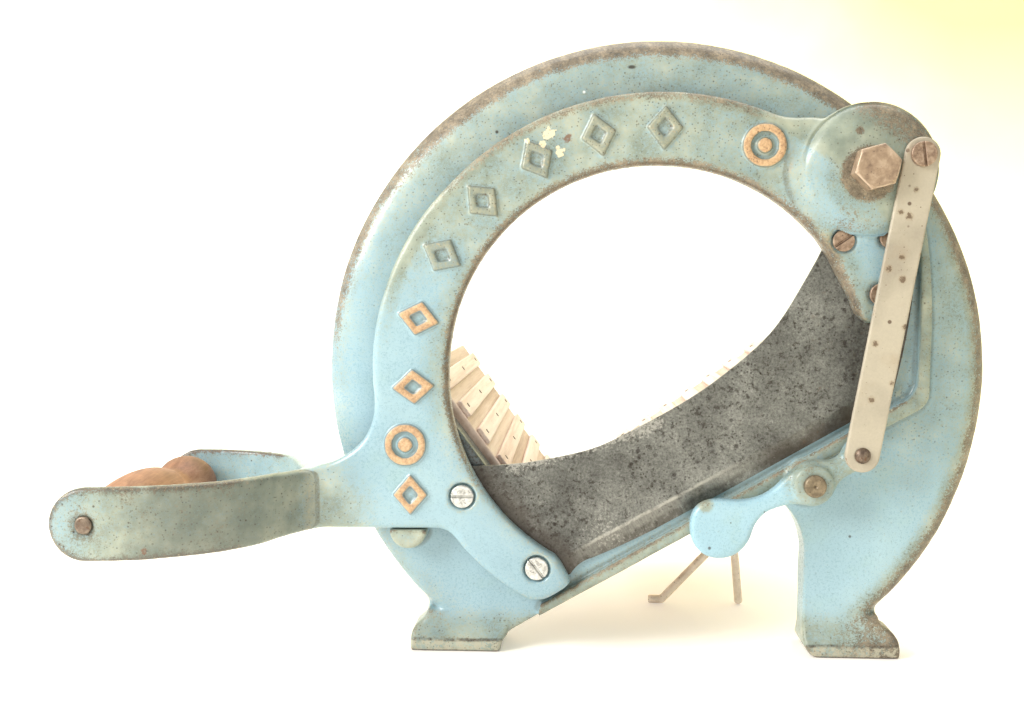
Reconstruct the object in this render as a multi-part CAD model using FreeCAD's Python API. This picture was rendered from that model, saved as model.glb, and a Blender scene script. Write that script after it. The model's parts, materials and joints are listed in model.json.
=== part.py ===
import FreeCAD, Part
import math
import os

os.makedirs("parts", exist_ok=True)
V = FreeCAD.Vector

# ---------------------------------------------------------------- dimensions
# All lengths in mm.  Layout frame: X to the right seen from the front,
# Y to the back, Z up, table at Z = 0, ring centre at X = 0.
# ORIGIN_X / ORIGIN_Y bring the origin to the bottom centre of the whole box.
ORIGIN_X = 58.85
ORIGIN_Y = -69.5

RING_CZ = 144.6          # height of the ring centre
RING_R = 166.5           # outer radius of the ring
OPEN_R = 108.0           # round part of the bread opening
FRAME_T = 16.5           # depth of the frame casting
WEB_T = 5.0              # front web of the channel section
FLANGE_T = 5.0           # flange round the back of the channel
RIM_H = 5.0              # raised rim beside the blade

PIV = (103.1, 244.0)     # main pivot
CRANK = (125.4, 250.2)   # link screw on the arm boss
ROCK = (100.0, 105.7)    # link rivet on the gauge lever
GPIN = (78.0, 90.2)      # gauge lever pin

ARM_Y0, ARM_Y1 = -12.0, -3.2     # arm plate, front and back
BOSS_Y = -18.0                   # front of the arm boss
BOSS_R = 32.8
BLADE_Y0, BLADE_Y1 = -3.0, -1.2  # blade, front and back
LINK_Y0, LINK_Y1 = -21.4, -18.7  # link bar, front and back
LEV_Y0, LEV_Y1 = -15.2, -9.0     # gauge lever plate

ARM_IN_R = 102.7                 # inner edge of the arm band
GRIP_X, GRIP_Z = -266.7, 77.0    # grip axis at the near prong's outer face
LEAN = 0.11                      # sideways lean of the fork and grip axis per mm of depth
FORK_YC = -4.0                   # middle plane of the fork
FORK_HALF = 63.0                 # half width over the prongs
PRONG_T = 6.0
PRONG_R = 17.5                   # half height of the prongs

# trough: two boards at a right angle, battens along the depth
LEFT_P, LEFT_A = (-58.6, 70.8), 126.2      # point on the batten tops, angle of the up-slope
RIGHT_P, RIGHT_A = (6.1, 95.2), 35.2
BAT_H, BAT_W, BAT_PITCH = 2.6, 10.0, 17.6
BOARD_T = 8.0
TROUGH_Y0, TROUGH_Y1 = 16.8, 207.0
LEFT_LEN, RIGHT_LEN = 116.0, 178.0
STAND_Y = 88.0


# ------------------------------------------------------------------- helpers
def p3(p, y):
    return V(p[0], y, p[1])


def wire(segs, y):
    """segs: first item a start point, then ('L', p), ('A', mid, p) or ('S', [pts])."""
    cur = segs[0]
    edges = []
    for s in segs[1:]:
        if s[0] == 'L':
            edges.append(Part.LineSegment(p3(cur, y), p3(s[1], y)).toShape())
            cur = s[1]
        elif s[0] == 'A':
            edges.append(Part.Arc(p3(cur, y), p3(s[1], y), p3(s[2], y)).toShape())
            cur = s[2]
        else:
            c = Part.BSplineCurve()
            c.interpolate([p3(cur, y)] + [p3(q, y) for q in s[1]])
            edges.append(c.toShape())
            cur = s[1][-1]
    if abs(cur[0] - segs[0][0]) + abs(cur[1] - segs[0][1]) > 1e-6:
        edges.append(Part.LineSegment(p3(cur, y), p3(segs[0], y)).toShape())
    return Part.Wire(edges)


def slab(segs, y0, y1):
    return Part.Face(wire(segs, y0)).extrude(V(0, y1 - y0, 0))


def poly(pts, y0, y1):
    w = Part.makePolygon([p3(q, y0) for q in pts] + [p3(pts[0], y0)])
    return Part.Face(w).extrude(V(0, y1 - y0, 0))


def rod(c, r, y0, y1):
    return Part.makeCylinder(r, y1 - y0, V(c[0], y0, c[1]), V(0, 1, 0))


def cone(c, r0, r1, y0, y1):
    return Part.makeCone(r0, r1, y1 - y0, V(c[0], y0, c[1]), V(0, 1, 0))


def ycyl(a, b, r):
    d = b.sub(a)
    return Part.makeCylinder(r, d.Length, a, d)


def clean(s):
    s = s.removeSplitter()
    return s


def fillet(shape, r, pick):
    es = [e for e in shape.Edges if pick(e)]
    if not es:
        print("no edges to round", r)
        return shape
    try:
        out = shape.makeFillet(r, es)
        if out.isValid() and out.Volume > 0.5 * shape.Volume:
            return out
        print("round not valid", r, len(es))
    except Exception as err:
        print("round failed", r, len(es), err)
    good = shape
    for e in es:
        try:
            m = e.CenterOfMass
            cand = [k for k in good.Edges if k.CenterOfMass.distanceToPoint(m) < 0.05]
            if cand:
                o = good.makeFillet(r, cand[:1])
                if o.isValid() and o.Volume > 0.5 * good.Volume:
                    good = o
        except Exception:
            pass
    return good


def at_y(y, tol=0.02):
    return lambda e: abs(e.BoundBox.YMin - y) < tol and abs(e.BoundBox.YMax - y) < tol


def export(name, shape):
    s = shape.copy()
    s.translate(V(ORIGIN_X, ORIGIN_Y, 0))
    solids = s.Solids
    if len(solids) == 1:
        s = solids[0]
    else:
        s = Part.makeCompound(solids)
    s.exportStep("parts/%s.step" % name)
    b = s.BoundBox
    print("%-20s solids %2d valid %s vol %9.0f  box %.1f %.1f %.1f .. %.1f %.1f %.1f" % (
        name, len(solids), s.isValid(), s.Volume, b.XMin, b.YMin, b.ZMin, b.XMax, b.YMax, b.ZMax))


def on_line(p, ang, s, off=0.0):
    """point s along a wall (up-slope positive), off towards the loaf side"""
    a = math.radians(ang)
    t = (math.cos(a), math.sin(a))
    n = (-t[1], t[0]) if ang < 90 else (t[1], -t[0])
    return (p[0] + t[0] * s + n[0] * off, p[1] + t[1] * s + n[1] * off)


def crossing(p, a, q, b):
    """where the line through p at angle a meets the line through q at angle b"""
    ta = (math.cos(math.radians(a)), math.sin(math.radians(a)))
    tb = (math.cos(math.radians(b)), math.sin(math.radians(b)))
    det = ta[0] * (-tb[1]) + tb[0] * ta[1]
    dx, dz = q[0] - p[0], q[1] - p[1]
    s = (dx * (-tb[1]) + tb[0] * dz) / det
    return (p[0] + ta[0] * s, p[1] + ta[1] * s)


def slotted_screw(c, r, y_front, head_t, shank_r, y_end, slot_angle, slot_w=1.3, slot_d=1.5, pts=None):
    s = rod(c, r, y_front, y_front + head_t)
    s = fillet(s, 0.5, at_y(y_front))
    s = s.fuse(rod(c, shank_r, y_front + head_t - 0.01, y_end))
    a = math.radians(slot_angle)
    box = Part.makeBox(2 * r + 2, slot_d + 1, slot_w, V(-r - 1, -1, -slot_w / 2))
    box.rotate(V(0, 0, 0), V(0, 1, 0), -slot_angle)
    box.translate(V(c[0], y_front, c[1]))
    return clean(s.cut(box))


def slope_screw(p, ang, s, y, off_head, length):
    """wood screw driven from under a board, square to it"""
    a = on_line(p, ang, s, off_head)
    b = on_line(p, ang, s, off_head + 1.0)
    d = V(b[0] - a[0], 0, b[1] - a[1])
    d.normalize()
    base = V(a[0], y, a[1])
    head = Part.makeSphere(3.6, base.add(d * 1.4), d, 0, 90, 360)
    dome = Part.makeCone(2.2, 3.5, 1.1, base.sub(d * 2.0), d)
    neck = Part.makeCylinder(3.5, 0.9, base.sub(d * 0.9), d)
    shank = Part.makeCylinder(1.6, length, base.sub(d * 0.1), d)
    return clean(dome.fuse(neck).fuse(shank))


# ---------------------------------------------------------- 1 frame casting
outer = [(-77.0, 0.0), ('L', (-123.5, 0.0)), ('L', (-123.5, 6.3)),
         ('A', (-121.8, 11.2), (-118.2, 14.6)), ('A', (-115.3, 20.6), (-118.85, 28.0)),
         ('A', (0.0, RING_CZ + RING_R), (118.85, 28.0)),
         ('A', (115.3, 20.6), (118.2, 14.6)), ('A', (123.0, 11.2), (125.0, 6.3)),
         ('L', (125.0, 0.0)), ('L', (82.0, 0.0)), ('A', (78.6, 3.6), (77.2, 9.5)),
         ('L', (77.3, 48.0)), ('A', (76.0, 62.0), (71.0, 72.5)), ('L', (64.2, 81.0)),
         ('A', (60.0, 84.8), (54.0, 83.9)), ('L', (-73.0, 9.4)), ('L', (-77.0, 4.0))]

# bread opening: round above, two straight lower sides following the trough
E_LEFT = (-101.8, 118.2)
E_LEFT_A = 127.0
E_RIGHT = (6.1, 87.9)
apex = crossing(E_LEFT, E_LEFT_A, E_RIGHT, RIGHT_A)


def on_circle_line(p, ang, r, zc, sign):
    """far crossing of a line with the opening circle"""
    t = (math.cos(math.radians(ang)), math.sin(math.radians(ang)))
    dx, dz = p[0], p[1] - zc
    b = dx * t[0] + dz * t[1]
    c = dx * dx + dz * dz - r * r
    s = -b + math.sqrt(b * b - c)
    return (p[0] + t[0] * s, p[1] + t[1] * s)


cl = on_circle_line(apex, E_LEFT_A, OPEN_R, RING_CZ, 1)
cr = on_circle_line(apex, RIGHT_A, OPEN_R, RING_CZ, 1)
apex_l = (apex[0] + 6 * math.cos(math.radians(E_LEFT_A)), apex[1] + 6 * math.sin(math.radians(E_LEFT_A)))
apex_r = (apex[0] + 6 * math.cos(math.radians(RIGHT_A)), apex[1] + 6 * math.sin(math.radians(RIGHT_A)))
opening = [apex_l, ('L', cl), ('A', (0.0, RING_CZ + OPEN_R), cr), ('L', apex_r),
           ('A', (apex[0] + 0.2, apex[1] + 2.5), apex_l)]

plate = slab(outer, 0.0, FRAME_T)
hole = slab(opening, -20.0, 40.0)

# rounded front edge of the ring: cut with a ring of quarter-round section
ROUND = 7.5
prof = Part.Wire([
    Part.LineSegment(V(RING_R - ROUND, -0.5, 0), V(RING_R + 2, -0.5, 0)).toShape(),
    Part.LineSegment(V(RING_R + 2, -0.5, 0), V(RING_R + 2, ROUND, 0)).toShape(),
    Part.LineSegment(V(RING_R + 2, ROUND, 0), V(RING_R, ROUND, 0)).toShape(),
    Part.Arc(V(RING_R, ROUND, 0), V(RING_R - ROUND * (1 - math.sqrt(0.5)), ROUND * (1 - math.sqrt(0.5)), 0),
             V(RING_R - ROUND, 0, 0)).toShape(),
    Part.LineSegment(V(RING_R - ROUND, 0, 0), V(RING_R - ROUND, -0.5, 0)).toShape()])
cutter = Part.Face(prof).revolve(V(0, 0, 0), V(0, 1, 0), 360)
cutter.rotate(V(0, 0, 0), V(0, 1, 0), 97)        # seam turned away from the crown of the ring
cutter.translate(V(0, 0, RING_CZ))

# back pocket of the channel
inner_face = Part.Face(wire(outer, WEB_T)).cut(Part.Face(wire(opening, WEB_T)))
inner_face = inner_face.Faces[0]
try:
    off = inner_face.makeOffset2D(-FLANGE_T)
    pocket = off.extrude(V(0, FRAME_T, 0))
    pocket = pocket.cut(Part.makeBox(400, 60, 26, V(-200, -10, -4)))
except Exception as err:
    print("pocket offset failed", err)
    pocket = None

frame = plate.cut(hole)
if pocket is not None:
    frame = frame.cut(pocket)

# bosses inside the channel
for c, r in ((PIV, 16.0), (GPIN, 13.0)):
    frame = frame.fuse(rod(c, r, WEB_T - 0.5, FRAME_T).common(plate))

frame = frame.cut(cutter)

# feet: wider pads with a swept slope up to the legs
foot_prof = Part.Wire([
    Part.LineSegment(V(0, -6.0, 0), V(0, 24.0, 0)).toShape(),
    Part.LineSegment(V(0, 24.0, 0), V(0, 24.0, 6.3)).toShape(),
    Part.Arc(V(0, 24.0, 6.3), V(0, 18.6, 10.8), V(0, 16.4, 19.5)).toShape(),
    Part.LineSegment(V(0, 16.4, 19.5), V(0, 0.1, 19.5)).toShape(),
    Part.Arc(V(0, 0.1, 19.5), V(0, -1.6, 11.4), V(0, -6.0, 6.3)).toShape(),
    Part.LineSegment(V(0, -6.0, 6.3), V(0, -6.0, 0)).toShape()])
foot_face = Part.Face(foot_prof)
foot_env = slab(outer, -7.0, 25.0)
for x0, x1 in ((-124.0, -73.2), (77.0, 126.0)):
    f = foot_face.copy()
    f.translate(V(x0, 0, 0))
    foot = f.extrude(V(x1 - x0, 0, 0)).common(foot_env)
    frame = frame.fuse(foot)

# raised rim beside the blade
rim = [(-58.0, 18.25), ('L', (-56.5, 24.7)), ('L', (124.3, 130.3)),
       ('S', [(128.8, 134.4), (130.8, 141.0)]), ('S', [(131.4, 161.0), (131.4, 181.0), (130.4, 200.5), (128.4, 214.5)]),
       ('A', (131.2, 217.2), (133.4, 214.5)), ('S', [(135.0, 203.0), (136.6, 181.0), (136.9, 161.0), (136.6, 137.0)]),
       ('S', [(135.2, 129.7), (130.0, 125.1)]), ('L', (115.4, 116.9))]
rim_s = slab(rim, -RIM_H, 1.0)
rim_s = fillet(rim_s, 1.2, at_y(-RIM_H))
frame = frame.fuse(rim_s)

# stop lug under the arm, half round
lug = rod((-123.8, 64.0), 9.6, -11.0, 1.0)
lug = fillet(lug, 2.0, at_y(-11.0))
lug = lug.cut(Part.makeBox(40, 30, 20, V(-143.8, -20, 64.2)))
frame = frame.fuse(lug)

# standing boss for the gauge lever pin
gboss = cone(GPIN, 11.0, 12.5, -8.1, 0.5)
frame = frame.fuse(gboss)

# two cast lugs behind the opening carry the trough boards
LUG_OFF = -(BAT_H + BOARD_T) - 0.2
lug_l = poly([on_line(LEFT_P, LEFT_A, 34, LUG_OFF), on_line(LEFT_P, LEFT_A, 62, LUG_OFF),
              on_line(LEFT_P, LEFT_A, 62, LUG_OFF - 5), on_line(LEFT_P, LEFT_A, 34, LUG_OFF - 5)], WEB_T - 1, 38.0)
lug_r = poly([on_line(RIGHT_P, RIGHT_A, -8, LUG_OFF), on_line(RIGHT_P, RIGHT_A, 24, LUG_OFF),
              on_line(RIGHT_P, RIGHT_A, 24, LUG_OFF - 5), on_line(RIGHT_P, RIGHT_A, -8, LUG_OFF - 5)], WEB_T - 1, 38.0)
frame = frame.fuse(lug_l).fuse(lug_r)

# holes: main pivot, gauge pin, small core hole in the ring face
frame = frame.cut(rod(PIV, 5.15, -20, 40))
frame = frame.cut(rod(GPIN, 3.6, -20, 40))
frame = frame.cut(rod((-136.0, 177.0), 1.6, -1, 3.0))
for s in (40, 56):
    frame = frame.cut(slope_screw(LEFT_P, LEFT_A, s, 30.0, LUG_OFF - 5, 30).fuse(
        ycyl(p3(on_line(LEFT_P, LEFT_A, s, LUG_OFF - 12), 30), p3(on_line(LEFT_P, LEFT_A, s, LUG_OFF + 2), 30), 1.75)))
for s in (-2, 18):
    frame = frame.cut(slope_screw(RIGHT_P, RIGHT_A, s, 30.0, LUG_OFF - 5, 30).fuse(
        ycyl(p3(on_line(RIGHT_P, RIGHT_A, s, LUG_OFF - 12), 30), p3(on_line(RIGHT_P, RIGHT_A, s, LUG_OFF + 2), 30), 1.75)))
frame = frame.cut(Part.makeBox(600, 200, 20, V(-300, -100, -20)))
frame = clean(frame)
export("frame", frame)

# ------------------------------------------------------------ 2 arm casting
arm_c = [(104.0, 169.6),
         ('A', (99.6, 173.2), (95.6, 180.9)), ('S', [(88.0, 195.6), (81.6, 206.6), (75.2, 214.6)]),
         ('A', (0.0, RING_CZ + ARM_IN_R), (-ARM_IN_R, RING_CZ)),
         ('A', (-87.7, 88.9), (-48.5, 51.1)),
         ('S', [(-44.6, 45.6), (-40.9, 37.6)]), ('L', (-42.4, 35.6)), ('L', (-49.5, 31.2)),
         ('A', (-57.5, 28.2), (-66.0, 30.6)),
         ('A', (-82.6, 42.2), (-99.0, 58.6)), ('A', (-102.9, 62.8), (-108.5, 64.8)),
         ('L', (-171.0, 64.4)), ('L', (-171.0, 96.9)),
         ('S', [(-163.8, 98.4), (-157.0, 101.4), (-150.0, 106.4), (-144.4, 113.2), (-141.4, 121.0), (-140.6, 130.0)]),
         ('A', (-134.6, 187.0), (-101.8, 238.9)),
         ('A', (-24.0, 280.9), (58.0, 271.3)),
         ('S', [(66.0, 269.9), (76.0, 270.2)]), ('L', (104.0, 262.0)), ('L', (124.0, 226.0)),
         ('S', [(123.0, 208.0), (119.5, 192.0), (115.0, 178.0)]), ('A', (110.5, 170.6), (104.0, 169.6))]
band = slab(arm_c, ARM_Y0, ARM_Y1)
band = fillet(band, 3.2, at_y(ARM_Y0))
boss = rod(PIV, BOSS_R, BOSS_Y, ARM_Y1)
boss = fillet(boss, 6.0, at_y(BOSS_Y))
arm = band.fuse(boss)
arm = arm.fuse(rod(PIV, 16.0, ARM_Y1 - 0.5, -1.1))

# fork: plan shape of the two prongs cut to the side outline
GRIP_L = 2 * FORK_HALF * math.hypot(1.0, LEAN)          # length along the grip axis over both prongs


def leaned(shape):
    """turn a shape built square about the grip axis into the lean of the fork"""
    shape.rotate(V(GRIP_X, -67.0, GRIP_Z), V(0, 0, 1), -math.degrees(math.atan(LEAN)))
    return shape


near_out = [(-284.5, -67.0), (-266.0, -67.0), (-248.0, -65.6), (-232.0, -61.8), (-217.0, -55.0),
            (-204.0, -45.5), (-194.0, -33.5), (-185.5, -20.5), (-177.0, -14.0), (-164.5, -12.0)]
near_in = [(-284.5, -61.0), (-266.0, -61.0), (-249.5, -59.6), (-234.5, -55.8), (-220.5, -49.4),
           (-208.5, -40.6), (-199.6, -29.5), (-193.0, -17.0), (-188.4, -8.6), (-186.6, -4.0)]


def mir(pts):
    return [(x, 2 * FORK_YC - y) for x, y in pts]


def plan_spline(pts):
    c = Part.BSplineCurve()
    c.interpolate([V(x, y, 50.0) for x, y in pts])
    return c.toShape()


def lean(pts):
    return [(x + LEAN * (y + 67.0), y) for x, y in pts]


far_out = lean(mir(near_out))
far_in = lean(mir(near_in))
near_out = lean(near_out[:7]) + [(-180.6, -20.8), (-174.5, -15.2), (-168.2, -12.35), (-160.0, -12.0)]
near_in = lean(near_in)
edges = [plan_spline(near_out),
         Part.LineSegment(V(near_out[-1][0], near_out[-1][1], 50), V(far_out[-1][0], far_out[-1][1], 50)).toShape(),
         plan_spline(list(reversed(far_out))),
         Part.LineSegment(V(far_out[0][0], far_out[0][1], 50), V(far_in[0][0], far_in[0][1], 50)).toShape(),
         plan_spline(far_in[:-1] + list(reversed(near_in))),
         Part.LineSegment(V(near_in[0][0], near_in[0][1], 50), V(near_out[0][0], near_out[0][1], 50)).toShape()]
fork = Part.Face(Part.Wire(edges)).extrude(V(0, 0, 60))
side = [(GRIP_X, GRIP_Z + PRONG_R), ('L', (-185.0, 94.8)), ('S', [(-176.0, 95.6), (-164.4, 98.1)]),
        ('L', (-164.4, 64.6)), ('S', [(-176.0, 64.3), (-190.0, 62.2), (-215.0, 60.6), (-240.0, 59.8)]),
        ('L', (GRIP_X, GRIP_Z - PRONG_R)), ('A', (GRIP_X - PRONG_R, GRIP_Z), (GRIP_X, GRIP_Z + PRONG_R))]
side_s = Part.Face(wire(side, -80.0)).extrude(V(LEAN * 160.0, 160.0, 0))
side_s.translate(V(LEAN * (-80.0 + 67.0), 0, 0))
fork = fork.common(side_s).common(Part.makeBox(200, 200, 200, V(-364.4, -100, 0)))
fork = fillet(fork, 1.6, lambda e: e.BoundBox.ZMax - e.BoundBox.ZMin < 6 and e.BoundBox.XMax < -186 and e.BoundBox.XLength > 15)
arm = arm.fuse(fork)

# raised plain ornament along the band: lozenges and two ringed dots
RELIEF = 1.7


def lozenge(c, w, h, ang):
    a = math.radians(ang)
    ca, sa = math.cos(a), math.sin(a)
    def q(u, v):
        return (c[0] + u * ca - v * sa, c[1] + u * sa + v * ca)

    def ring(k, y):
        return Part.makePolygon([p3(q(m[0] * k, m[1] * k), y) for m in ((w, 0), (0, h), (-w, 0), (0, -h), (w, 0))])
    body = Part.makeLoft([ring(1.0, ARM_Y0 + 0.3), ring(0.86, ARM_Y0 - RELIEF)], True)
    well = Part.makeLoft([ring(0.36, ARM_Y0 - 0.2), ring(0.50, ARM_Y0 - RELIEF - 0.1)], True)
    return body.cut(well)


def ringed_dot(c, r):
    ring = cone(c, r * 0.92, r, ARM_Y0 - RELIEF, ARM_Y0 + 0.3).cut(rod(c, r * 0.62, ARM_Y0 - 3, ARM_Y0 + 2))
    dot = cone(c, r * 0.30, r * 0.38, ARM_Y0 - RELIEF, ARM_Y0 + 0.3)
    return ring.fuse(dot)


MID_R = 120.4
orn = []
for ang in (183.5, 167.0, 151.0, 135.0, 119.0, 103.5, 88.0):
    a = math.radians(ang)
    c = (MID_R * math.cos(a), RING_CZ + MID_R * math.sin(a))
    orn.append(lozenge(c, 11.5, 9.4, ang))
orn.append(ringed_dot((52.5, 256.0), 11.0))
orn.append(ringed_dot((-124.5, 108.0), 11.0))
orn.append(lozenge((-122.0, 82.6), 9.6, 11.2, 0))
for o in orn:
    arm = arm.fuse(o)

TOE_SCREWS = ((-95.9, 81.8), (-58.2, 45.3))
TAB_SCREWS = ((91.3, 209.8), (113.8, 211.2), (109.6, 183.6))
for c in TOE_SCREWS:
    arm = arm.cut(rod(c, 6.9, ARM_Y0 - 6, ARM_Y0 + 2.6)).cut(rod(c, 3.1, -30, 5))
for c in TAB_SCREWS:
    arm = arm.cut(rod(c, 6.3, ARM_Y0 - 0.9, ARM_Y0 + 1.6)).cut(rod(c, 3.1, -30, 5))
arm = arm.cut(rod(PIV, 5.08, -40, 10))
arm = arm.cut(rod(CRANK, 3.1, -30, -6.0))
for part_cut in (rod((GRIP_X, GRIP_Z), 3.6, -67.0 - 20.0, -67.0 + 150.0),
                 rod((GRIP_X, GRIP_Z), 5.4, -67.0 - 6.0, -67.0 + 0.62),
                 rod((GRIP_X, GRIP_Z), 5.4, -67.0 + GRIP_L - 0.62, -67.0 + GRIP_L + 6.0)):
    arm = arm.cut(leaned(part_cut))
arm = clean(arm)
export("blade_arm", arm)

# ------------------------------------------------------------------ 3 blade
EDGE_A = 29.1
blade_c = [(-41.0, 40.4), ('S', [(-37.0, 45.3), (-30.0, 49.0)]), ('S', [(-5.8, 60.2), (24.3, 76.6), (54.2, 93.8), (83.7, 110.9), (112.0, 127.2)]),
           ('A', (116.6, 129.6), (118.8, 134.0)), ('S', [(121.4, 145.0), (124.6, 161.0), (126.8, 176.0), (127.9, 190.0), (127.6, 205.0)]),
           ('A', (124.4, 216.8), (114.0, 221.6)), ('L', (86.0, 217.0)), ('S', [(82.8, 205.6), (77.3, 194.9), (67.8, 178.0), (58.9, 165.0), (43.3, 149.8), (23.6, 134.5), (3.7, 122.3), (-16.0, 111.8), (-26.4, 106.8), (-46.7, 101.1), (-67.0, 97.4), (-89.5, 95.9), (-98.0, 95.6)]),
           ('A', (-105.0, 92.2), (-106.5, 84.0)), ('L', (-104.0, 75.0)), ('L', (-66.0, 37.6)), ('A', (-58.5, 34.4), (-50.0, 36.0))]
blade = slab(blade_c, BLADE_Y0, BLADE_Y1)
ea = math.radians(EDGE_A + 0.2)
ed = V(math.cos(ea), 0, math.sin(ea))
en = V(-math.sin(ea), 0, math.cos(ea))
o0 = V(-46.0, 0, 39.3)
BEV = 7.6
bw = Part.makePolygon([o0.sub(en * 3).add(V(0, BLADE_Y0 - 0.6, 0)), o0.add(en * BEV).add(V(0, BLADE_Y0 - 0.6, 0)),
                       o0.add(en * BEV).add(V(0, BLADE_Y0, 0)), o0.sub(en * 3).add(V(0, BLADE_Y1 + 0.25, 0)),
                       o0.sub(en * 3).add(V(0, BLADE_Y0 - 0.6, 0))])
wedge = Part.Face(bw).extrude(ed * 190)
blade = blade.cut(wedge)
for c in TOE_SCREWS + TAB_SCREWS:
    blade = blade.cut(rod(c, 2.75, -10, 10))
blade = clean(blade)
export("blade", blade)

# ------------------------------------------------------------- 4, 5 screws
toe = [slotted_screw(TOE_SCREWS[0], 5.8, ARM_Y0 - 0.3, 2.9, 2.65, BLADE_Y1, 0),
       slotted_screw(TOE_SCREWS[1], 5.8, ARM_Y0 - 0.3, 2.9, 2.65, BLADE_Y1, -52)]
export("toe_screws", Part.makeCompound(toe))
tab = [slotted_screw(TAB_SCREWS[0], 5.3, ARM_Y0 - 0.6, 2.2, 2.65, BLADE_Y1, 35),
       slotted_screw(TAB_SCREWS[1], 5.3, ARM_Y0 - 0.6, 2.2, 2.65, BLADE_Y1, -40),
       slotted_screw(TAB_SCREWS[2], 5.3, ARM_Y0 - 0.6, 2.2, 2.65, BLADE_Y1, 65)]
export("tab_screws", Part.makeCompound(tab))


# ------------------------------------------------------------ 6..9 main pivot
def hexagon(c, af, y0, y1, turn):
    r = af / math.sqrt(3.0)
    pts = [(c[0] + r * math.cos(math.radians(60 * i + turn)), c[1] + r * math.sin(math.radians(60 * i + turn))) for i in range(6)]
    return poly(pts, y0, y1)


HEAD_Y0, HEAD_Y1 = BOSS_Y - 10.3, BOSS_Y - 0.15
head = hexagon(PIV, 19.6, HEAD_Y0, HEAD_Y1, 15)
cham = cone(PIV, 9.7, 12.9, HEAD_Y0, HEAD_Y0 + 2.2).fuse(rod(PIV, 12.9, HEAD_Y0 + 2.19, HEAD_Y1 + 1))
head = head.common(cham)
bolt = head.fuse(rod(PIV, 5.0, HEAD_Y1 - 0.1, FRAME_T + 12.5))
bolt = clean(bolt)
export("pivot_bolt", bolt)
shim = rod(PIV, 13.0, -0.9, -0.1).cut(rod(PIV, 5.35, -5, 5))
export("pivot_shim", shim)
pw = rod(PIV, 10.5, FRAME_T, FRAME_T + 1.6).cut(rod(PIV, 5.2, 0, 40))
export("pivot_washer", pw)
nut = hexagon(PIV, 17.0, FRAME_T + 1.6, FRAME_T + 9.6, 5).common(
    cone(PIV, 12.0, 8.6, FRAME_T + 6.6, FRAME_T + 9.61).fuse(rod(PIV, 12.0, FRAME_T, FRAME_T + 6.61)))
nut = clean(nut.cut(rod(PIV, 5.05, 0, 60)))
export("pivot_nut", nut)


# ---------------------------------------------------------- 10..13 link parts
def bar(a, b, r, y0, y1):
    dx, dz = b[0] - a[0], b[1] - a[1]
    l = math.hypot(dx, dz)
    nx, nz = -dz / l * r, dx / l * r
    return slab([(a[0] + nx, a[1] + nz), ('A', (a[0] - dx / l * r, a[1] - dz / l * r), (a[0] - nx, a[1] - nz)),
                 ('L', (b[0] - nx, b[1] - nz)), ('A', (b[0] + dx / l * r, b[1] + dz / l * r), (b[0] + nx, b[1] + nz))], y0, y1)


link = bar(CRANK, ROCK, 8.3, LINK_Y0, LINK_Y1)
link = link.cut(rod(CRANK, 3.08, -40, 0)).cut(rod(ROCK, 3.3, -40, 0))
link = fillet(link, 0.6, at_y(LINK_Y0))
export("link_bar", link)
lw = rod(CRANK, 6.2, LINK_Y1 + 0.05, BOSS_Y).cut(rod(CRANK, 3.2, -40, 0))
export("link_washer", lw)
ls = slotted_screw(CRANK, 6.0, LINK_Y0 - 2.7, 2.6, 3.0, -8.0, 98)
export("link_screw", ls)
riv = rod(ROCK, 2.2, LINK_Y0 - 0.3, -9.2)
dome = Part.makeSphere(4.4, V(ROCK[0], LINK_Y0 - 0.15 + 2.0, ROCK[1])).common(rod(ROCK, 6, LINK_Y0 - 4, LINK_Y0 - 0.15))
riv = clean(riv.fuse(dome))
export("link_rivet", riv)

# -------------------------------------------------------- 14..18 gauge lever
lp = [(28.5, 81.6), (36.5, 81.9), (43.5, 81.7), (50.2, 82.9), (55.1, 84.9), (60.0, 88.5), (64.8, 93.4), (69.6, 97.8),
      (74.4, 100.8), (79.8, 102.0), (86.6, 102.1), (91.2, 104.6), (94.0, 109.4), (98.0, 113.0), (102.6, 112.9), (106.4, 110.0),
      (107.6, 105.4), (105.8, 100.8), (101.8, 98.0), (96.2, 95.2), (91.0, 91.0), (88.4, 85.6), (84.5, 81.0),
      (79.0, 78.9), (71.6, 79.9), (62.6, 78.6), (55.3, 75.4), (51.2, 70.9), (48.8, 65.0), (45.6, 58.8), (40.0, 54.0),
      (33.1, 52.2), (25.5, 53.9), (20.0, 59.6), (18.2, 67.0), (19.3, 74.5), (23.0, 79.4)]
lever = slab([lp[2], ('S', lp[3:17]), ('S', lp[17:29]), ('S', lp[29:] + lp[:3])], LEV_Y0, LEV_Y1)
lever = fillet(lever, 2.0, at_y(LEV_Y0))
hub = cone(GPIN, 9.6, 11.0, LEV_Y0 - 2.8, LEV_Y0 + 3.0)
eye = cone(ROCK, 6.6, 7.4, LINK_Y1 + 0.25, LEV_Y0 + 3.0)
lever = lever.fuse(hub).fuse(eye)
lever = lever.cut(rod(GPIN, 4.08, -40, 10)).cut(rod(ROCK, 2.22, -40, 10))
lever = clean(lever)
export("gauge_lever", lever)
PIN_Y = LEV_Y0 - 2.8
gp = rod(GPIN, 5.5, PIN_Y - 3.6, PIN_Y - 0.15)
gp = fillet(gp, 1.2, at_y(PIN_Y - 3.6))
gp = gp.fuse(rod(GPIN, 4.0, PIN_Y - 0.2, -8.1)).fuse(rod(GPIN, 3.5, -8.2, FRAME_T + 9.0))
gp = gp.cut(cone(GPIN, 1.3, 0.2, PIN_Y - 3.61, PIN_Y - 2.6))
export("gauge_pin", clean(gp))
gw = rod(GPIN, 8.2, LEV_Y1 + 0.1, -8.1).cut(rod(GPIN, 4.2, -40, 10))
export("gauge_washer", gw)
gn = hexagon(GPIN, 13.0, FRAME_T + 1.2, FRAME_T + 6.7, 20).cut(rod(GPIN, 3.55, 0, 60))
export("gauge_nut", clean(gn))
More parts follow.
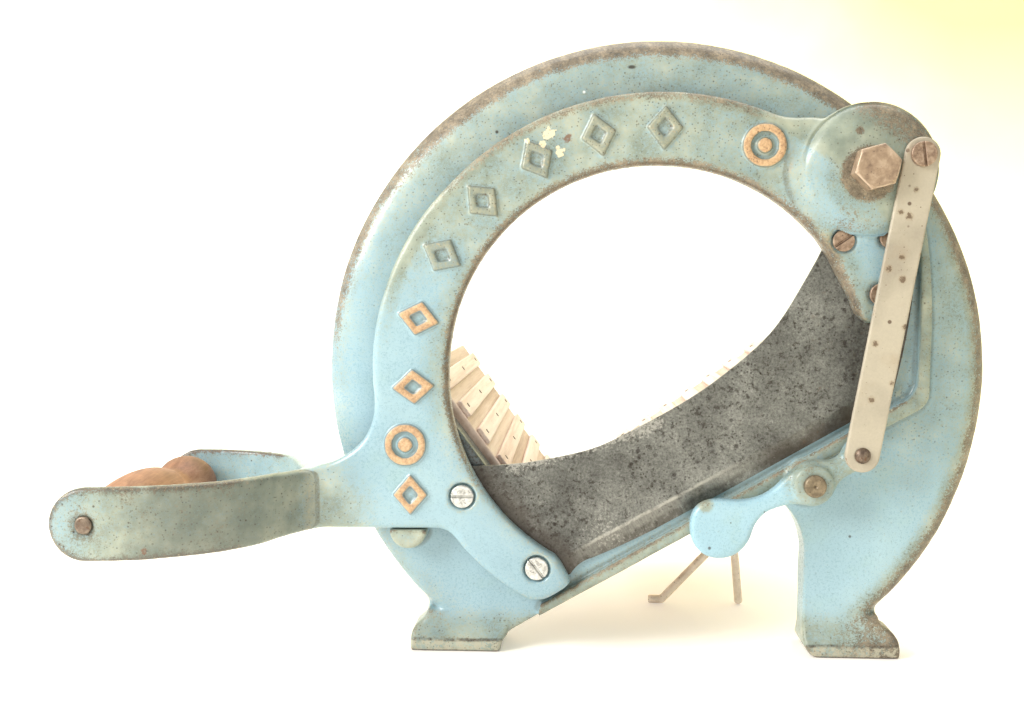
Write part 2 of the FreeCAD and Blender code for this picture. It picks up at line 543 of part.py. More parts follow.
gnw = rod(GPIN, 7.2, FRAME_T, FRAME_T + 1.2).cut(rod(GPIN, 3.65, 0, 60))
export("gauge_nut_washer", gnw)

# --------------------------------------------------------- 19, 20 handle grip
gprof = [(8.2, 9.0), (16.0, 10.8), (28.0, 13.2), (42.0, 15.4), (56.0, 16.5), (66.0, 16.3), (76.0, 14.7), (83.5, 12.5),
         (88.5, 12.1), (94.0, 13.9), (100.5, 16.0), (106.5, 16.4), (112.5, 14.6), (GRIP_L - 8.2, 9.6)]
G0, G1 = gprof[0][0] - 67.0, gprof[-1][0] - 67.0
gc = Part.BSplineCurve()
gc.interpolate([V(GRIP_X + r, t - 67.0, GRIP_Z) for t, r in gprof])
g_edges = [gc.toShape(),
           Part.LineSegment(V(GRIP_X + gprof[-1][1], G1, GRIP_Z), V(GRIP_X + 3.58, G1, GRIP_Z)).toShape(),
           Part.LineSegment(V(GRIP_X + 3.58, G1, GRIP_Z), V(GRIP_X + 3.58, G0, GRIP_Z)).toShape(),
           Part.LineSegment(V(GRIP_X + 3.58, G0, GRIP_Z), V(GRIP_X + gprof[0][1], G0, GRIP_Z)).toShape()]
grip = Part.Face(Part.Wire(g_edges)).revolve(V(GRIP_X, 0, GRIP_Z), V(0, 1, 0), 360)
if grip.Volume < 0:
    grip.reverse()
export("handle_grip", leaned(grip))
hr = rod((GRIP_X, GRIP_Z), 3.5, -67.0 - 0.3, -67.0 + GRIP_L + 0.3)
hr = hr.fuse(cone((GRIP_X, GRIP_Z), 3.7, 4.6, -67.0 - 0.9, -67.0 + 0.45))
hr = hr.fuse(cone((GRIP_X, GRIP_Z), 4.6, 3.7, -67.0 + GRIP_L - 0.45, -67.0 + GRIP_L + 0.9))
export("handle_rod", leaned(clean(hr)))

# ------------------------------------------------------------- 21.. trough
BAT_OFF = -BAT_H
lo_a = on_line(LEFT_P, LEFT_A, 0, BAT_OFF)
ro_a = on_line(RIGHT_P, RIGHT_A, 0, BAT_OFF)
vi = crossing(lo_a, LEFT_A, ro_a, RIGHT_A)                       # inner corner of the boards
lo_b = on_line(LEFT_P, LEFT_A, 0, BAT_OFF - BOARD_T)
ro_b = on_line(RIGHT_P, RIGHT_A, 0, BAT_OFF - BOARD_T)
vl = crossing(lo_b, LEFT_A, ro_a, RIGHT_A)                       # outer face of left board on the right board's face


def along(p, ang, s):
    a = math.radians(ang)
    return (p[0] + s * math.cos(a), p[1] + s * math.sin(a))


lt_i = along(vi, LEFT_A, LEFT_LEN)
lt_o = (lt_i[0] + lo_b[0] - lo_a[0], lt_i[1] + lo_b[1] - lo_a[1])
left_board = poly([along(vi, LEFT_A, 0.1), lt_i, lt_o, along(vl, LEFT_A, 0.1)], TROUGH_Y0, TROUGH_Y1)
rt_i = along(vi, RIGHT_A, RIGHT_LEN)
rt_o = (rt_i[0] + ro_b[0] - ro_a[0], rt_i[1] + ro_b[1] - ro_a[1])
rb_i = along(vl, RIGHT_A, 0.35)
rb_o = (rb_i[0] + ro_b[0] - ro_a[0], rb_i[1] + ro_b[1] - ro_a[1])
right_board = poly([rb_i, rt_i, rt_o, rb_o], TROUGH_Y0, TROUGH_Y1)

# battens on both boards
battens = []
nails = []
nl = int((LEFT_LEN - 10) / BAT_PITCH)
NAIL_Y = (34.0, 110.0, 192.0)


def batten(p0, ang, s, first):
    a = along(p0, ang, s)
    b = along(p0, ang, s + BAT_W)
    up = on_line((0, 0), ang, 0, BAT_H)
    bt = poly([a, b, (b[0] + up[0], b[1] + up[1]), (a[0] + up[0], a[1] + up[1])], TROUGH_Y0 + 3.0, TROUGH_Y1)
    mid = along(p0, ang, s + BAT_W / 2)
    d = V(up[0], 0, up[1])
    d.normalize()
    hs = None
    for y in NAIL_Y:
        m = V(mid[0], y, mid[1])
        shank = Part.makeCylinder(0.6, BAT_H + 5.0, m.sub(d * 5.0), d)
        bt = bt.cut(shank)
        hs = shank.fuse(Part.makeCylinder(1.25, 0.3, m.add(d * BAT_H), d))
        nails.append((clean(hs), m, d))
    return bt


bat_l, bat_r = [], []
for i in range(6):
    bat_l.append(batten(vi, LEFT_A, 9.5 + i * BAT_PITCH, False))
for i in range(9):
    bat_r.append(batten(vi, RIGHT_A, 13.5 + i * BAT_PITCH, False))
for nsh, m, d in nails:
    hole = Part.makeCylinder(0.6, 5.0, m.sub(d * 5.0), d)
    left_board = left_board.cut(hole)
    right_board = right_board.cut(hole)

# steel strap under the boards and the bent-rod stand
SO = BAT_OFF - BOARD_T - 0.1
ST = 2.0
STRAP_Y0, STRAP_Y1 = STAND_Y - 9, STAND_Y + 9
cl_o = on_line(LEFT_P, LEFT_A, 0, SO)
cr_o = on_line(RIGHT_P, RIGHT_A, 0, SO)
vi_o = crossing(cl_o, LEFT_A, cr_o, RIGHT_A)
cl_o2 = on_line(LEFT_P, LEFT_A, 0, SO - ST)
cr_o2 = on_line(RIGHT_P, RIGHT_A, 0, SO - ST)
vo_o = crossing(cl_o2, LEFT_A, cr_o2, RIGHT_A)
SL, SR = 62.0, 128.0
la = along(vi_o, LEFT_A, SL)
lb = (la[0] + cl_o2[0] - cl_o[0], la[1] + cl_o2[1] - cl_o[1])
ra = along(vi_o, RIGHT_A, SR)
rb = (ra[0] + cr_o2[0] - cr_o[0], ra[1] + cr_o2[1] - cr_o[1])
strap = poly([vi_o, la, lb, vo_o, rb, ra], STRAP_Y0, STRAP_Y1)

screws = []
S_STRAP_OFF = SO - ST - 0.05
for s in (40, 56):
    sc = slope_screw(LEFT_P, LEFT_A, s, 30.0, LUG_OFF - 5, 11.5)
    screws.append(sc)
    left_board = left_board.cut(sc)
for s in (-2, 18):
    sc = slope_screw(RIGHT_P, RIGHT_A, s, 30.0, LUG_OFF - 5, 11.5)
    screws.append(sc)
    right_board = right_board.cut(sc)
for s in (30, 52):
    sc = slope_screw(LEFT_P, LEFT_A, s, STAND_Y, S_STRAP_OFF, 8.0)
    screws.append(sc)
    left_board = left_board.cut(sc)
    strap = strap.cut(sc)
for s in (-20, 20):
    sc = slope_screw(RIGHT_P, RIGHT_A, s, STAND_Y, S_STRAP_OFF, 8.0)
    screws.append(sc)
    right_board = right_board.cut(sc)
    strap = strap.cut(sc)
export("trough_screws", Part.makeCompound(screws))

# corner nails through the right board into the edge of the left board
cn = []
dn = on_line((0, 0), RIGHT_A, 0, 1.0)
dv = V(dn[0], 0, dn[1])
mid_edge = ((vi[0] + vl[0]) / 2, (vi[1] + vl[1]) / 2)
for y in (45.0, 130.0, 190.0):
    m = V(mid_edge[0], y, mid_edge[1])
    sh = Part.makeCylinder(0.8, 24.0, m.sub(dv * (BOARD_T + 0.0)), dv)
    nh = sh.fuse(Part.makeCylinder(1.8, 0.5, m.sub(dv * (BOARD_T + 0.5)), dv))
    cn.append(clean(nh))
    left_board = left_board.cut(sh)
    right_board = right_board.cut(sh)
export("corner_nails", Part.makeCompound(cn))
export("left_board", left_board)
export("battens", Part.makeCompound(bat_l + bat_r))
export("batten_nails", Part.makeCompound([n[0] for n in nails]))

# stand: post to the strap, one straight leg and one slanting leg
ROD = 2.4
top = on_line(RIGHT_P, RIGHT_A, 56.0, SO - ST)
apx = V(53.6, STAND_Y, 46.0)
post_top = V(top[0], STAND_Y, top[1])
post = ycyl(apx, post_top.add(V(0, 0, 3)), ROD)
legr = ycyl(V(57.6, STAND_Y, 2.6), apx, ROD)
legl = ycyl(V(12.5, STAND_Y, 2.4), apx, ROD)
stand = post.fuse(legr).fuse(legl).fuse(Part.makeSphere(ROD, apx))
stand = stand.fuse(Part.makeSphere(ROD + 0.2, V(57.6, STAND_Y, 2.6))).fuse(
    ycyl(V(12.5, STAND_Y, 2.4), V(4.5, STAND_Y, 2.4), ROD)).fuse(Part.makeSphere(ROD, V(12.5, STAND_Y, 2.4)))
pad_a, pad_b = 42.0, 60.0
pad = poly([on_line(RIGHT_P, RIGHT_A, pad_a, SO - ST - 0.1), on_line(RIGHT_P, RIGHT_A, pad_b, SO - ST - 0.1),
            on_line(RIGHT_P, RIGHT_A, pad_b, SO - ST - 2.6), on_line(RIGHT_P, RIGHT_A, pad_a, SO - ST - 2.6)], STAND_Y - 8, STAND_Y + 8)
keep = poly([on_line(RIGHT_P, RIGHT_A, -90, SO - ST - 0.1), on_line(RIGHT_P, RIGHT_A, 120, SO - ST - 0.1),
             (120.0, -10.0), (-120.0, -10.0)], STAND_Y - 20, STAND_Y + 20)
stand = stand.fuse(pad).common(keep)
stand = stand.cut(Part.makeBox(300, 300, 10, V(-150, -50, -10)))
# rivet through pad and strap
rv_c = on_line(RIGHT_P, RIGHT_A, 46.0, SO - ST - 0.1)
rv = slope_screw(RIGHT_P, RIGHT_A, 46.0, STAND_Y, SO - ST - 2.6, 2.6 + ST + 3.0)
stand = stand.cut(rv)
strap = strap.cut(rv)
rb2 = right_board.cut(rv)
export("right_board", rb2)
export("stand_screw", rv)
export("trough_strap", clean(strap))
export("rear_stand", clean(stand))
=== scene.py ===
import json
import math

import bpy
import numpy as np
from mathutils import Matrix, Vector

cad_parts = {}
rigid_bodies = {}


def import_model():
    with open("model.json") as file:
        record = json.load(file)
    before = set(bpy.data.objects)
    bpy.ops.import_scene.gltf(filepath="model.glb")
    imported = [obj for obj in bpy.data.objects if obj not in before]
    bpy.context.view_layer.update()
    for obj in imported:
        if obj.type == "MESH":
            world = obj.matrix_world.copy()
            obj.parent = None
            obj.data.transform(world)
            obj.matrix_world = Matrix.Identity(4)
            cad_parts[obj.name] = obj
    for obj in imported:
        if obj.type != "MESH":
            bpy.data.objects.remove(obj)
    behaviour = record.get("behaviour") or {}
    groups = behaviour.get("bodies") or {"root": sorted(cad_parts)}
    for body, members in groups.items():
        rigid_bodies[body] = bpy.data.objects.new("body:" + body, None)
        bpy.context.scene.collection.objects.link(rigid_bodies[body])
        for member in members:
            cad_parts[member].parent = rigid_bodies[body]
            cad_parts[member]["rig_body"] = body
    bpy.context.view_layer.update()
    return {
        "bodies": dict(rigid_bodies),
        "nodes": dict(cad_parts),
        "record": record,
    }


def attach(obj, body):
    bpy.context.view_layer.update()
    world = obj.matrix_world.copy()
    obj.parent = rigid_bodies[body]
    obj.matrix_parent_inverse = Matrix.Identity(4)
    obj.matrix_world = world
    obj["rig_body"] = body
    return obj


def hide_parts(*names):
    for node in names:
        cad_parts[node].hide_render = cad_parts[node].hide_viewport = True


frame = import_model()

NODES = frame["nodes"]
BODIES = frame["bodies"]
RECORD = frame["record"]
SHIFT = (58.85, -69.5, 0.0)          # row frame = layout frame + SHIFT, in mm


def at(x, y, z):
    """layout millimetres to row metres"""
    return Vector(((x + SHIFT[0]) / 1000, (y + SHIFT[1]) / 1000, (z + SHIFT[2]) / 1000))


# ------------------------------------------------------------------ camera
cam_data = bpy.data.cameras.new("view")
cam = bpy.data.objects.new("view", cam_data)
bpy.context.scene.collection.objects.link(cam)
cam.location = at(-39.38, -560.0, 188.25)
cam.rotation_euler = (math.radians(90 - 3.734), 0.0, math.radians(3.261))
cam_data.sensor_width = 36.0
cam_data.lens = 38.78
cam_data.clip_start = 0.01
cam_data.clip_end = 50.0
bpy.context.scene.camera = cam
bpy.context.scene.view_settings.view_transform = "Standard"
bpy.context.scene.view_settings.look = "None"


# ---------------------------------------------------------- numpy noise field
def hash3(ix, iy, iz, seed):
    h = (ix.astype(np.int64) * 374761393 + iy.astype(np.int64) * 668265263 + iz.astype(np.int64) * 2147483647 + seed * 1274126177) & 0xFFFFFFFF
    h = ((h ^ (h >> 13)) * 1274126177) & 0xFFFFFFFF
    h = (h ^ (h >> 16)) & 0xFFFFFFFF
    return h.astype(np.float64) / 4294967295.0


def value_noise(p, size, seed):
    """smooth noise -1..1 at points p (n,3), blobs of the given size"""
    q = p / size
    i = np.floor(q).astype(np.int64)
    f = q - i
    f = f * f * (3 - 2 * f)
    out = np.zeros(len(p))
    for dx in (0, 1):
        wx = f[:, 0] if dx else 1 - f[:, 0]
        for dy in (0, 1):
            wy = f[:, 1] if dy else 1 - f[:, 1]
            for dz in (0, 1):
                wz = f[:, 2] if dz else 1 - f[:, 2]
                out += wx * wy * wz * hash3(i[:, 0] + dx, i[:, 1] + dy, i[:, 2] + dz, seed)
    return out * 2 - 1


# ------------------------------------------------------------- dense meshes
def relax(co, e, deg, n, lam):
    nv = len(co)
    for _ in range(n):
        out = np.empty_like(co)
        for k in range(3):
            s = np.bincount(e[:, 0], co[e[:, 1], k], nv) + np.bincount(e[:, 1], co[e[:, 0], k], nv)
            out[:, k] = s / deg
        co = co + lam * (out - co)
    return co


def spread(val, e, deg, n):
    nv = len(val)
    for _ in range(n):
        s = np.bincount(e[:, 0], val[e[:, 1]], nv) + np.bincount(e[:, 1], val[e[:, 0]], nv)
        val = 0.5 * val + 0.5 * s / deg
    return val


PIECES = {}


def dense(node, voxel, soft=6, lumps=(), seed=1, name=None, reach=12, slot=None, melt=None, turns=0, sculpt=None):
    """A finely meshed stand-in for a CAD node with softened edges, cast unevenness and a convexity attribute."""
    src = NODES[node]
    tmp = bpy.data.objects.new("tmp_" + node, src.data.copy())
    bpy.context.scene.collection.objects.link(tmp)
    mod = tmp.modifiers.new("r", "REMESH")
    mod.mode = "VOXEL"
    mod.voxel_size = voxel / 1000.0
    mod.adaptivity = 0.0
    dg = bpy.context.evaluated_depsgraph_get()
    me = bpy.data.meshes.new_from_object(tmp.evaluated_get(dg))
    old = tmp.data
    bpy.data.objects.remove(tmp)
    bpy.data.meshes.remove(old)
    nv = len(me.vertices)
    co = np.empty(nv * 3)
    me.vertices.foreach_get("co", co)
    co = co.reshape(-1, 3) * 1000.0
    e = np.empty(len(me.edges) * 2, np.int32)
    me.edges.foreach_get("vertices", e)
    e = e.reshape(-1, 2)
    deg = np.maximum(np.bincount(e.ravel(), minlength=nv), 1).astype(float)
    lo0, hi0 = co.min(0), co.max(0)
    for _ in range(soft):
        co = relax(co, e, deg, 1, 0.5)
        co = relax(co, e, deg, 1, -0.46)

    if melt is not None:
        w = melt(co - np.array(SHIFT))[:, None]
        for _ in range(turns):
            co = co + w * (relax(co, e, deg, 1, 0.6) - co)

    if sculpt is not None:
        co = sculpt(co - np.array(SHIFT)) + np.array(SHIFT)

    def normals(c):
        me.vertices.foreach_set("co", (c / 1000.0).ravel())
        me.update()
        n = np.empty(nv * 3)
        me.vertices.foreach_get("normal", n)
        return n.reshape(-1, 3)

    nrm = normals(co)
    wide = relax(co, e, deg, reach, 0.6)
    cvx = ((co - wide) * nrm).sum(1)
    lay = co - np.array(SHIFT)
    for k, (size, amp) in enumerate(lumps):
        co = co + nrm * (amp * value_noise(lay, size, seed * 17 + k))[:, None]
    co = np.clip(co, lo0, hi0)
    me.vertices.foreach_set("co", (co / 1000.0).astype(np.float32).ravel())
    me.update()
    a = me.attributes.new("cvx", "FLOAT", "POINT")
    a.data.foreach_set("value", spread(cvx, e, deg, 1).astype(np.float32))
    me.polygons.foreach_set("use_smooth", np.ones(len(me.polygons), bool))
    me.materials.clear()
    o = bpy.data.objects.new(name or node + "_skin", me)
    bpy.context.scene.collection.objects.link(o)
    body = src["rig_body"]
    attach(o, body)
    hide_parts(node)
    PIECES[node] = o
    return o


# ------------------------------------------------------------- node network
class Net:
    def __init__(self, name):
        self.mat = bpy.data.materials.new(name)
        self.mat.use_nodes = True
        self.t = self.mat.node_tree
        self.t.nodes.clear()
        self.out = self.t.nodes.new("ShaderNodeOutputMaterial")
        self.b = self.t.nodes.new("ShaderNodeBsdfPrincipled")
        self.t.links.new(self.b.outputs[0], self.out.inputs[0])
        tc = self.t.nodes.new("ShaderNodeTexCoord")
        v = self.t.nodes.new("ShaderNodeVectorMath")
        v.operation = "MULTIPLY_ADD"
        self.t.links.new(tc.outputs["Object"], v.inputs[0])
        v.inputs[1].default_value = (1000, 1000, 1000)
        v.inputs[2].default_value = (-SHIFT[0], -SHIFT[1], -SHIFT[2])
        self.p = v.outputs[0]
        s = self.t.nodes.new("ShaderNodeSeparateXYZ")
        self.t.links.new(self.p, s.inputs[0])
        self.x, self.y, self.z = s.outputs

    def put(self, v, sock):
        if isinstance(v, bpy.types.NodeSocket):
            self.t.links.new(v, sock)
        elif v is not None:
            sock.default_value = v

    def m(self, op, a, b=None, c=None, clamp=False):
        n = self.t.nodes.new("ShaderNodeMath")
        n.operation = op
        n.use_clamp = clamp
        for v, s in zip((a, b, c), n.inputs):
            self.put(v, s)
        return n.outputs[0]

    def add(self, *v):
        r = v[0]
        for k in v[1:]:
            r = self.m("ADD", r, k)
        return r

    def mul(self, a, b, clamp=False):
        return self.m("MULTIPLY", a, b, clamp=clamp)

    def sub(self, a, b, clamp=False):
        return self.m("SUBTRACT", a, b, clamp=clamp)

    def top(self, *v):
        r = v[0]
        for k in v[1:]:
            r = self.m("MAXIMUM", r, k)
        return r

    def low(self, *v):
        r = v[0]
        for k in v[1:]:
            r = self.m("MINIMUM", r, k)
        return r

    def step(self, x, a, b, c=0.0, d=1.0):
        n = self.t.nodes.new("ShaderNodeMapRange")
        n.interpolation_type = "SMOOTHSTEP"
        flip = a > b
        if flip:
            a, b, c, d = b, a, d, c
        self.put(x, n.inputs[0])
        for v, s in zip((a, b, c, d), list(n.inputs)[1:5]):
            s.default_value = v
        return n.outputs[0]

    def lin(self, x, a, b, c=0.0, d=1.0):
        n = self.t.nodes.new("ShaderNodeMapRange")
        self.put(x, n.inputs[0])
        for v, s in zip((a, b, c, d), list(n.inputs)[1:5]):
            s.default_value = v
        return n.outputs[0]

    def stretch(self, k, off=(0, 0, 0), vec=None):
        n = self.t.nodes.new("ShaderNodeVectorMath")
        n.operation = "MULTIPLY_ADD"
        self.put(vec or self.p, n.inputs[0])
        n.inputs[1].default_value = k
        n.inputs[2].default_value = off
        return n.outputs[0]

    def noise(self, size, detail=3.0, rough=0.5, vec=None, warp=0.0, seed=0.0):
        """size in mm of the largest blobs"""
        n = self.t.nodes.new("ShaderNodeTexNoise")
        n.noise_dimensions = "3D"
        v = vec or self.p
        if seed:
            v = self.stretch((1, 1, 1), (seed * 13.7, seed * 7.3, -seed * 9.1), v)
        self.put(v, n.inputs["Vector"])
        n.inputs["Scale"].default_value = 1.0 / size
        n.inputs["Detail"].default_value = detail
        n.inputs["Roughness"].default_value = rough
        n.inputs["Distortion"].default_value = warp
        return n.outputs[0]

    def cells(self, size, vec=None, seed=0.0, feature="F1"):
        n = self.t.nodes.new("ShaderNodeTexVoronoi")
        n.feature = feature
        v = vec or self.p
        if seed:
            v = self.stretch((1, 1, 1), (seed * 11.7, -seed * 5.3, seed * 8.1), v)
        self.put(v, n.inputs["Vector"])
        n.inputs["Scale"].default_value = 1.0 / size
        return n

    def specks(self, size, share, big=0.30, seed=0.0, vec=None, soft=0.05):
        """round specks: share of the cells hold one, radius up to big x size"""
        n = self.cells(size, vec, seed)
        c = self.t.nodes.new("ShaderNodeSeparateColor")
        self.t.links.new(n.outputs["Color"], c.inputs[0])
        has = self.step(c.outputs[0], share, share - 0.02) if not isinstance(share, bpy.types.NodeSocket) else self.m("LESS_THAN", c.outputs[0], share)
        rad = self.lin(c.outputs[1], 0, 1, big * 0.25, big)
        d = self.sub(rad, n.outputs["Distance"])
        return self.mul(self.step(d, -soft, soft), has)

    def mix(self, f, a, b, mode="MIX"):
        n = self.t.nodes.new("ShaderNodeMix")
        n.data_type = "RGBA"
        n.blend_type = mode
        n.clamp_factor = True
        self.put(f, n.inputs[0])
        for v, s in ((a, n.inputs[6]), (b, n.inputs[7])):
            if isinstance(v, tuple) and len(v) == 3:
                v = (*v, 1.0)
            self.put(v, s)
        return n.outputs[2]

    def ramp(self, f, stops, kind="LINEAR"):
        n = self.t.nodes.new("ShaderNodeValToRGB")
        n.color_ramp.interpolation = kind
        el = n.color_ramp.elements
        while len(el) < len(stops):
            el.new(0.5)
        for k, (pos, col) in enumerate(stops):
            el[k].position = pos
            el[k].color = (*col, 1.0)
        self.put(f, n.inputs[0])
        return n.outputs[0]

    def shade(self, col, k):
        """colour times a factor socket"""
        return self.mix(1.0, col, self.grey(k), "MULTIPLY")

    def grey(self, k):
        n = self.t.nodes.new("ShaderNodeCombineColor")
        for s in n.inputs[:3]:
            self.put(k, s)
        return n.outputs[0]

    def cvx(self):
        n = self.t.nodes.new("ShaderNodeAttribute")
        n.attribute_name = "cvx"
        n.attribute_type = "GEOMETRY"
        return n.outputs["Fac"]

    def radius(self, cx, cz):
        dx, dz = self.sub(self.x, cx), self.sub(self.z, cz)
        return self.m("SQRT", self.add(self.mul(dx, dx), self.mul(dz, dz)))

    def spot(self, c, r, soft, sx=1.0, sy=0.0, sz=1.0):
        """1 inside r of c, easing to 0 over soft; axis weights"""
        acc = None
        for s, v, w in ((self.x, c[0], sx), (self.y, c[1], sy), (self.z, c[2], sz)):
            if w:
                d = self.mul(self.sub(s, v), w)
                d = self.mul(d, d)
                acc = d if acc is None else self.add(acc, d)
        return self.step(self.m("SQRT", acc), r + soft, r)

    def strip(self, a, b, r, soft, vary=None):
        """1 within r of the line from a to b (x, z), easing to 0 over soft"""
        dx, dz = b[0] - a[0], b[1] - a[1]
        ll = dx * dx + dz * dz
        px, pz = self.sub(self.x, a[0]), self.sub(self.z, a[1])
        t = self.m("MULTIPLY", self.add(self.mul(px, dx), self.mul(pz, dz)), 1.0 / ll, clamp=True)
        ex, ez = self.sub(px, self.mul(t, dx)), self.sub(pz, self.mul(t, dz))
        d = self.m("SQRT", self.add(self.mul(ex, ex), self.mul(ez, ez)))
        if vary is not None:
            d = self.add(d, vary)
        return self.step(d, r + soft, r)

    def bump(self, h, mm, strength=1.0, normal=None):
        n = self.t.nodes.new("ShaderNodeBump")
        n.inputs["Strength"].default_value = strength
        n.inputs["Distance"].default_value = mm / 1000.0
        self.put(h, n.inputs["Height"])
        if normal is not None:
            self.put(normal, n.inputs["Normal"])
        return n.outputs[0]

    def done(self, color, rough, normal=None, metal=None, **fixed):
        self.put(color if not isinstance(color, tuple) else (*color, 1.0), self.b.inputs["Base Color"])
        self.put(rough, self.b.inputs["Roughness"])
        if normal is not None:
            self.put(normal, self.b.inputs["Normal"])
        if metal is not None:
            self.put(metal, self.b.inputs["Metallic"])
        for k, v in fixed.items():
            self.b.inputs[k.replace("_", " ")].default_value = v
        return self.mat


def srgb(r, g, b):
    def f(c):
        c /= 255.0
        return c / 12.92 if c <= 0.04045 else ((c + 0.055) / 1.055) ** 2.4
    return (f(r), f(g), f(b))


# ------------------------------------------------------------------ enamel
RING = (0.0, 144.6)


def enamel(kind):
    n = Net("enamel_" + kind)
    big = n.noise(70, 3, 0.5)
    mid = n.noise(9, 5, 0.65, warp=0.3)
    grain = n.noise(1.4, 3, 0.75)
    tiny = n.noise(0.55, 2, 0.6, seed=2)
    g = n.sub(n.add(n.mul(grain, 0.6), n.mul(tiny, 0.4)), 0.5)
    m0 = n.sub(mid, 0.5)
    b0 = n.sub(big, 0.5)
    cvx = n.cvx()
    r = n.radius(*RING)
    a, b, c = srgb(136, 168, 180), srgb(150, 182, 194), srgb(164, 193, 200)
    if kind == "lever":
        a, b, c = srgb(144, 182, 198), srgb(156, 194, 209), srgb(166, 201, 214)
    paint = n.ramp(big, [(0.30, a), (0.52, b), (0.72, c)])
    paint = n.mix(n.step(n.noise(24, 4, 0.6, seed=3), 0.50, 0.74, 0, 0.35), paint, srgb(146, 176, 172))
    paint = n.shade(paint, n.add(1.0, n.mul(g, 0.75)))
    if kind == "frame":
        # painted light: the lower right of the frame, leg included, is lightened by up to 12 % as if by bounce light
        # from the table
        paint = n.shade(paint, n.add(1.0, n.mul(n.mul(n.step(n.x, 40.0, 90.0), n.step(n.z, 130.0, 80.0)), 0.12)))
    film, heavy, line, dark = [], [], [], []
    if kind == "frame":
        up = n.step(n.z, 120.0, 275.0)
        film.append(n.mul(up, 0.66))
        film.append(n.mul(n.step(r, 146.0, 162.0), n.add(0.30, n.mul(up, 0.50))))
        # darker greener film over the lower right of the ring: partly film wear, partly a painted reflection
        film.append(n.mul(n.mul(n.step(n.x, 74.0, 125.0), n.step(n.z, 55.0, 120.0)), 0.50))
        film.append(n.mul(n.step(n.z, 27.0, 12.0), 0.78))
        film.append(n.mul(n.step(n.y, -2.5, -4.6), n.step(n.z, 9.0, 13.0, 0.2, 0.72)))
        film.append(n.mul(n.step(n.y, 15.0, 19.0), 0.6))
        film.append(n.mul(n.strip((-50.0, 30.0), (118.0, 123.5), 0.5, 5.0), 0.75))
        heavy.append(n.mul(n.mul(n.step(r, 152.5, 162.0), n.step(n.z, 190.0, 285.0)), 1.05))
        # outer rim darker brown-grey at mid height and on the right (these three lines and the rim line below): partly
        # wear, partly painted shade where the rim falls away from the light
        heavy.append(n.mul(n.mul(n.step(r, 156.5, 164.0), n.step(n.z, 100.0, 200.0)), 0.80))
        heavy.append(n.mul(n.mul(n.step(r, 155.0, 164.0), n.step(n.x, 60.0, 130.0)), 0.86))
        film.append(n.mul(n.mul(n.step(r, 150.0, 162.0), n.step(n.x, 60.0, 130.0)), 0.95))
        heavy.append(n.mul(n.step(r, 160.0, 166.0), 0.30))
        heavy.append(n.mul(n.mul(n.step(n.z, 6.6, 5.6), n.step(n.x, 0.0, 20.0, 0.18, 0.42)), 1.0))
        heavy.append(n.mul(n.step(n.y, -4.4, -4.95), 0.10))
        heavy.append(n.mul(n.strip((-56.0, 24.8), (124.3, 130.2), 0.2, 2.2), 0.50))
        # dark rim line: partly wear, partly painted shade where the rim falls away from the light
        line.append(n.mul(n.step(r, 152.0, 162.0), n.step(n.z, 60.0, 240.0, 0.15, 0.45)))
        seam = n.add(n.z, n.mul(m0, 1.8))
        # dark marks: a noisy dark line along the top edge of the front pads; painted contact shade along the very
        # bottom of the frame; painted shade on the frame's inner edge beside the left board's front end
        dark.append(n.mul(n.mul(n.mul(n.step(seam, 7.4, 6.4), n.step(seam, 5.0, 6.0)), n.step(n.y, -4.2, -5.0)), n.step(n.noise(5.0, 4, 0.7, seed=19), 0.36, 0.60, 0.25, 1.0)))
        dark.append(n.step(n.z, 1.2, 0.5))
        dark.append(n.strip((-112.0, 132.0), (-86.0, 87.0), 5.5, 3.0))
    if kind == "arm":
        ang = n.step(n.z, 160.0, 228.0)
        film.append(n.mul(ang, n.step(n.x, 84.0, 60.0, 0.40, 0.76)))
        film.append(n.mul(n.mul(n.step(r, 128.0, 135.0), n.step(n.z, 150.0, 215.0)), 1.05))
        heavy.append(n.mul(n.mul(n.step(r, 130.0, 136.0), n.mul(n.step(n.z, 190.0, 262.0), n.step(n.x, 70.0, 40.0))), 0.60))
        film.append(n.mul(n.step(n.add(r, n.mul(m0, 14.0)), 124.0, 104.0), n.step(n.z, 70.0, 140.0, 0.25, 0.72)))
        near = n.mul(n.step(n.x, -164.0, -182.0), n.step(n.y, -8.0, -12.0))
        film.append(n.mul(near, n.step(n.x, -282.0, -250.0, 0.50, 1.0)))
        film.append(n.mul(n.step(n.x, -165.0, -190.0), 0.42))
        film.append(n.mul(n.spot((-168.0, 0, 76.0), 6, 34), 0.8))
        # top-right side of the boss: partly film and heavy wear, partly painted shade where the dome turns away from
        # the light
        boss_wear_and_shade = n.mul(n.spot((103.1, 0, 244.0), 33, 3), n.step(n.add(n.mul(n.sub(n.x, 103.1), 0.6), n.mul(n.sub(n.z, 244.0), 0.8)), 8.0, 25.0))
        film.append(n.mul(boss_wear_and_shade, 1.15))
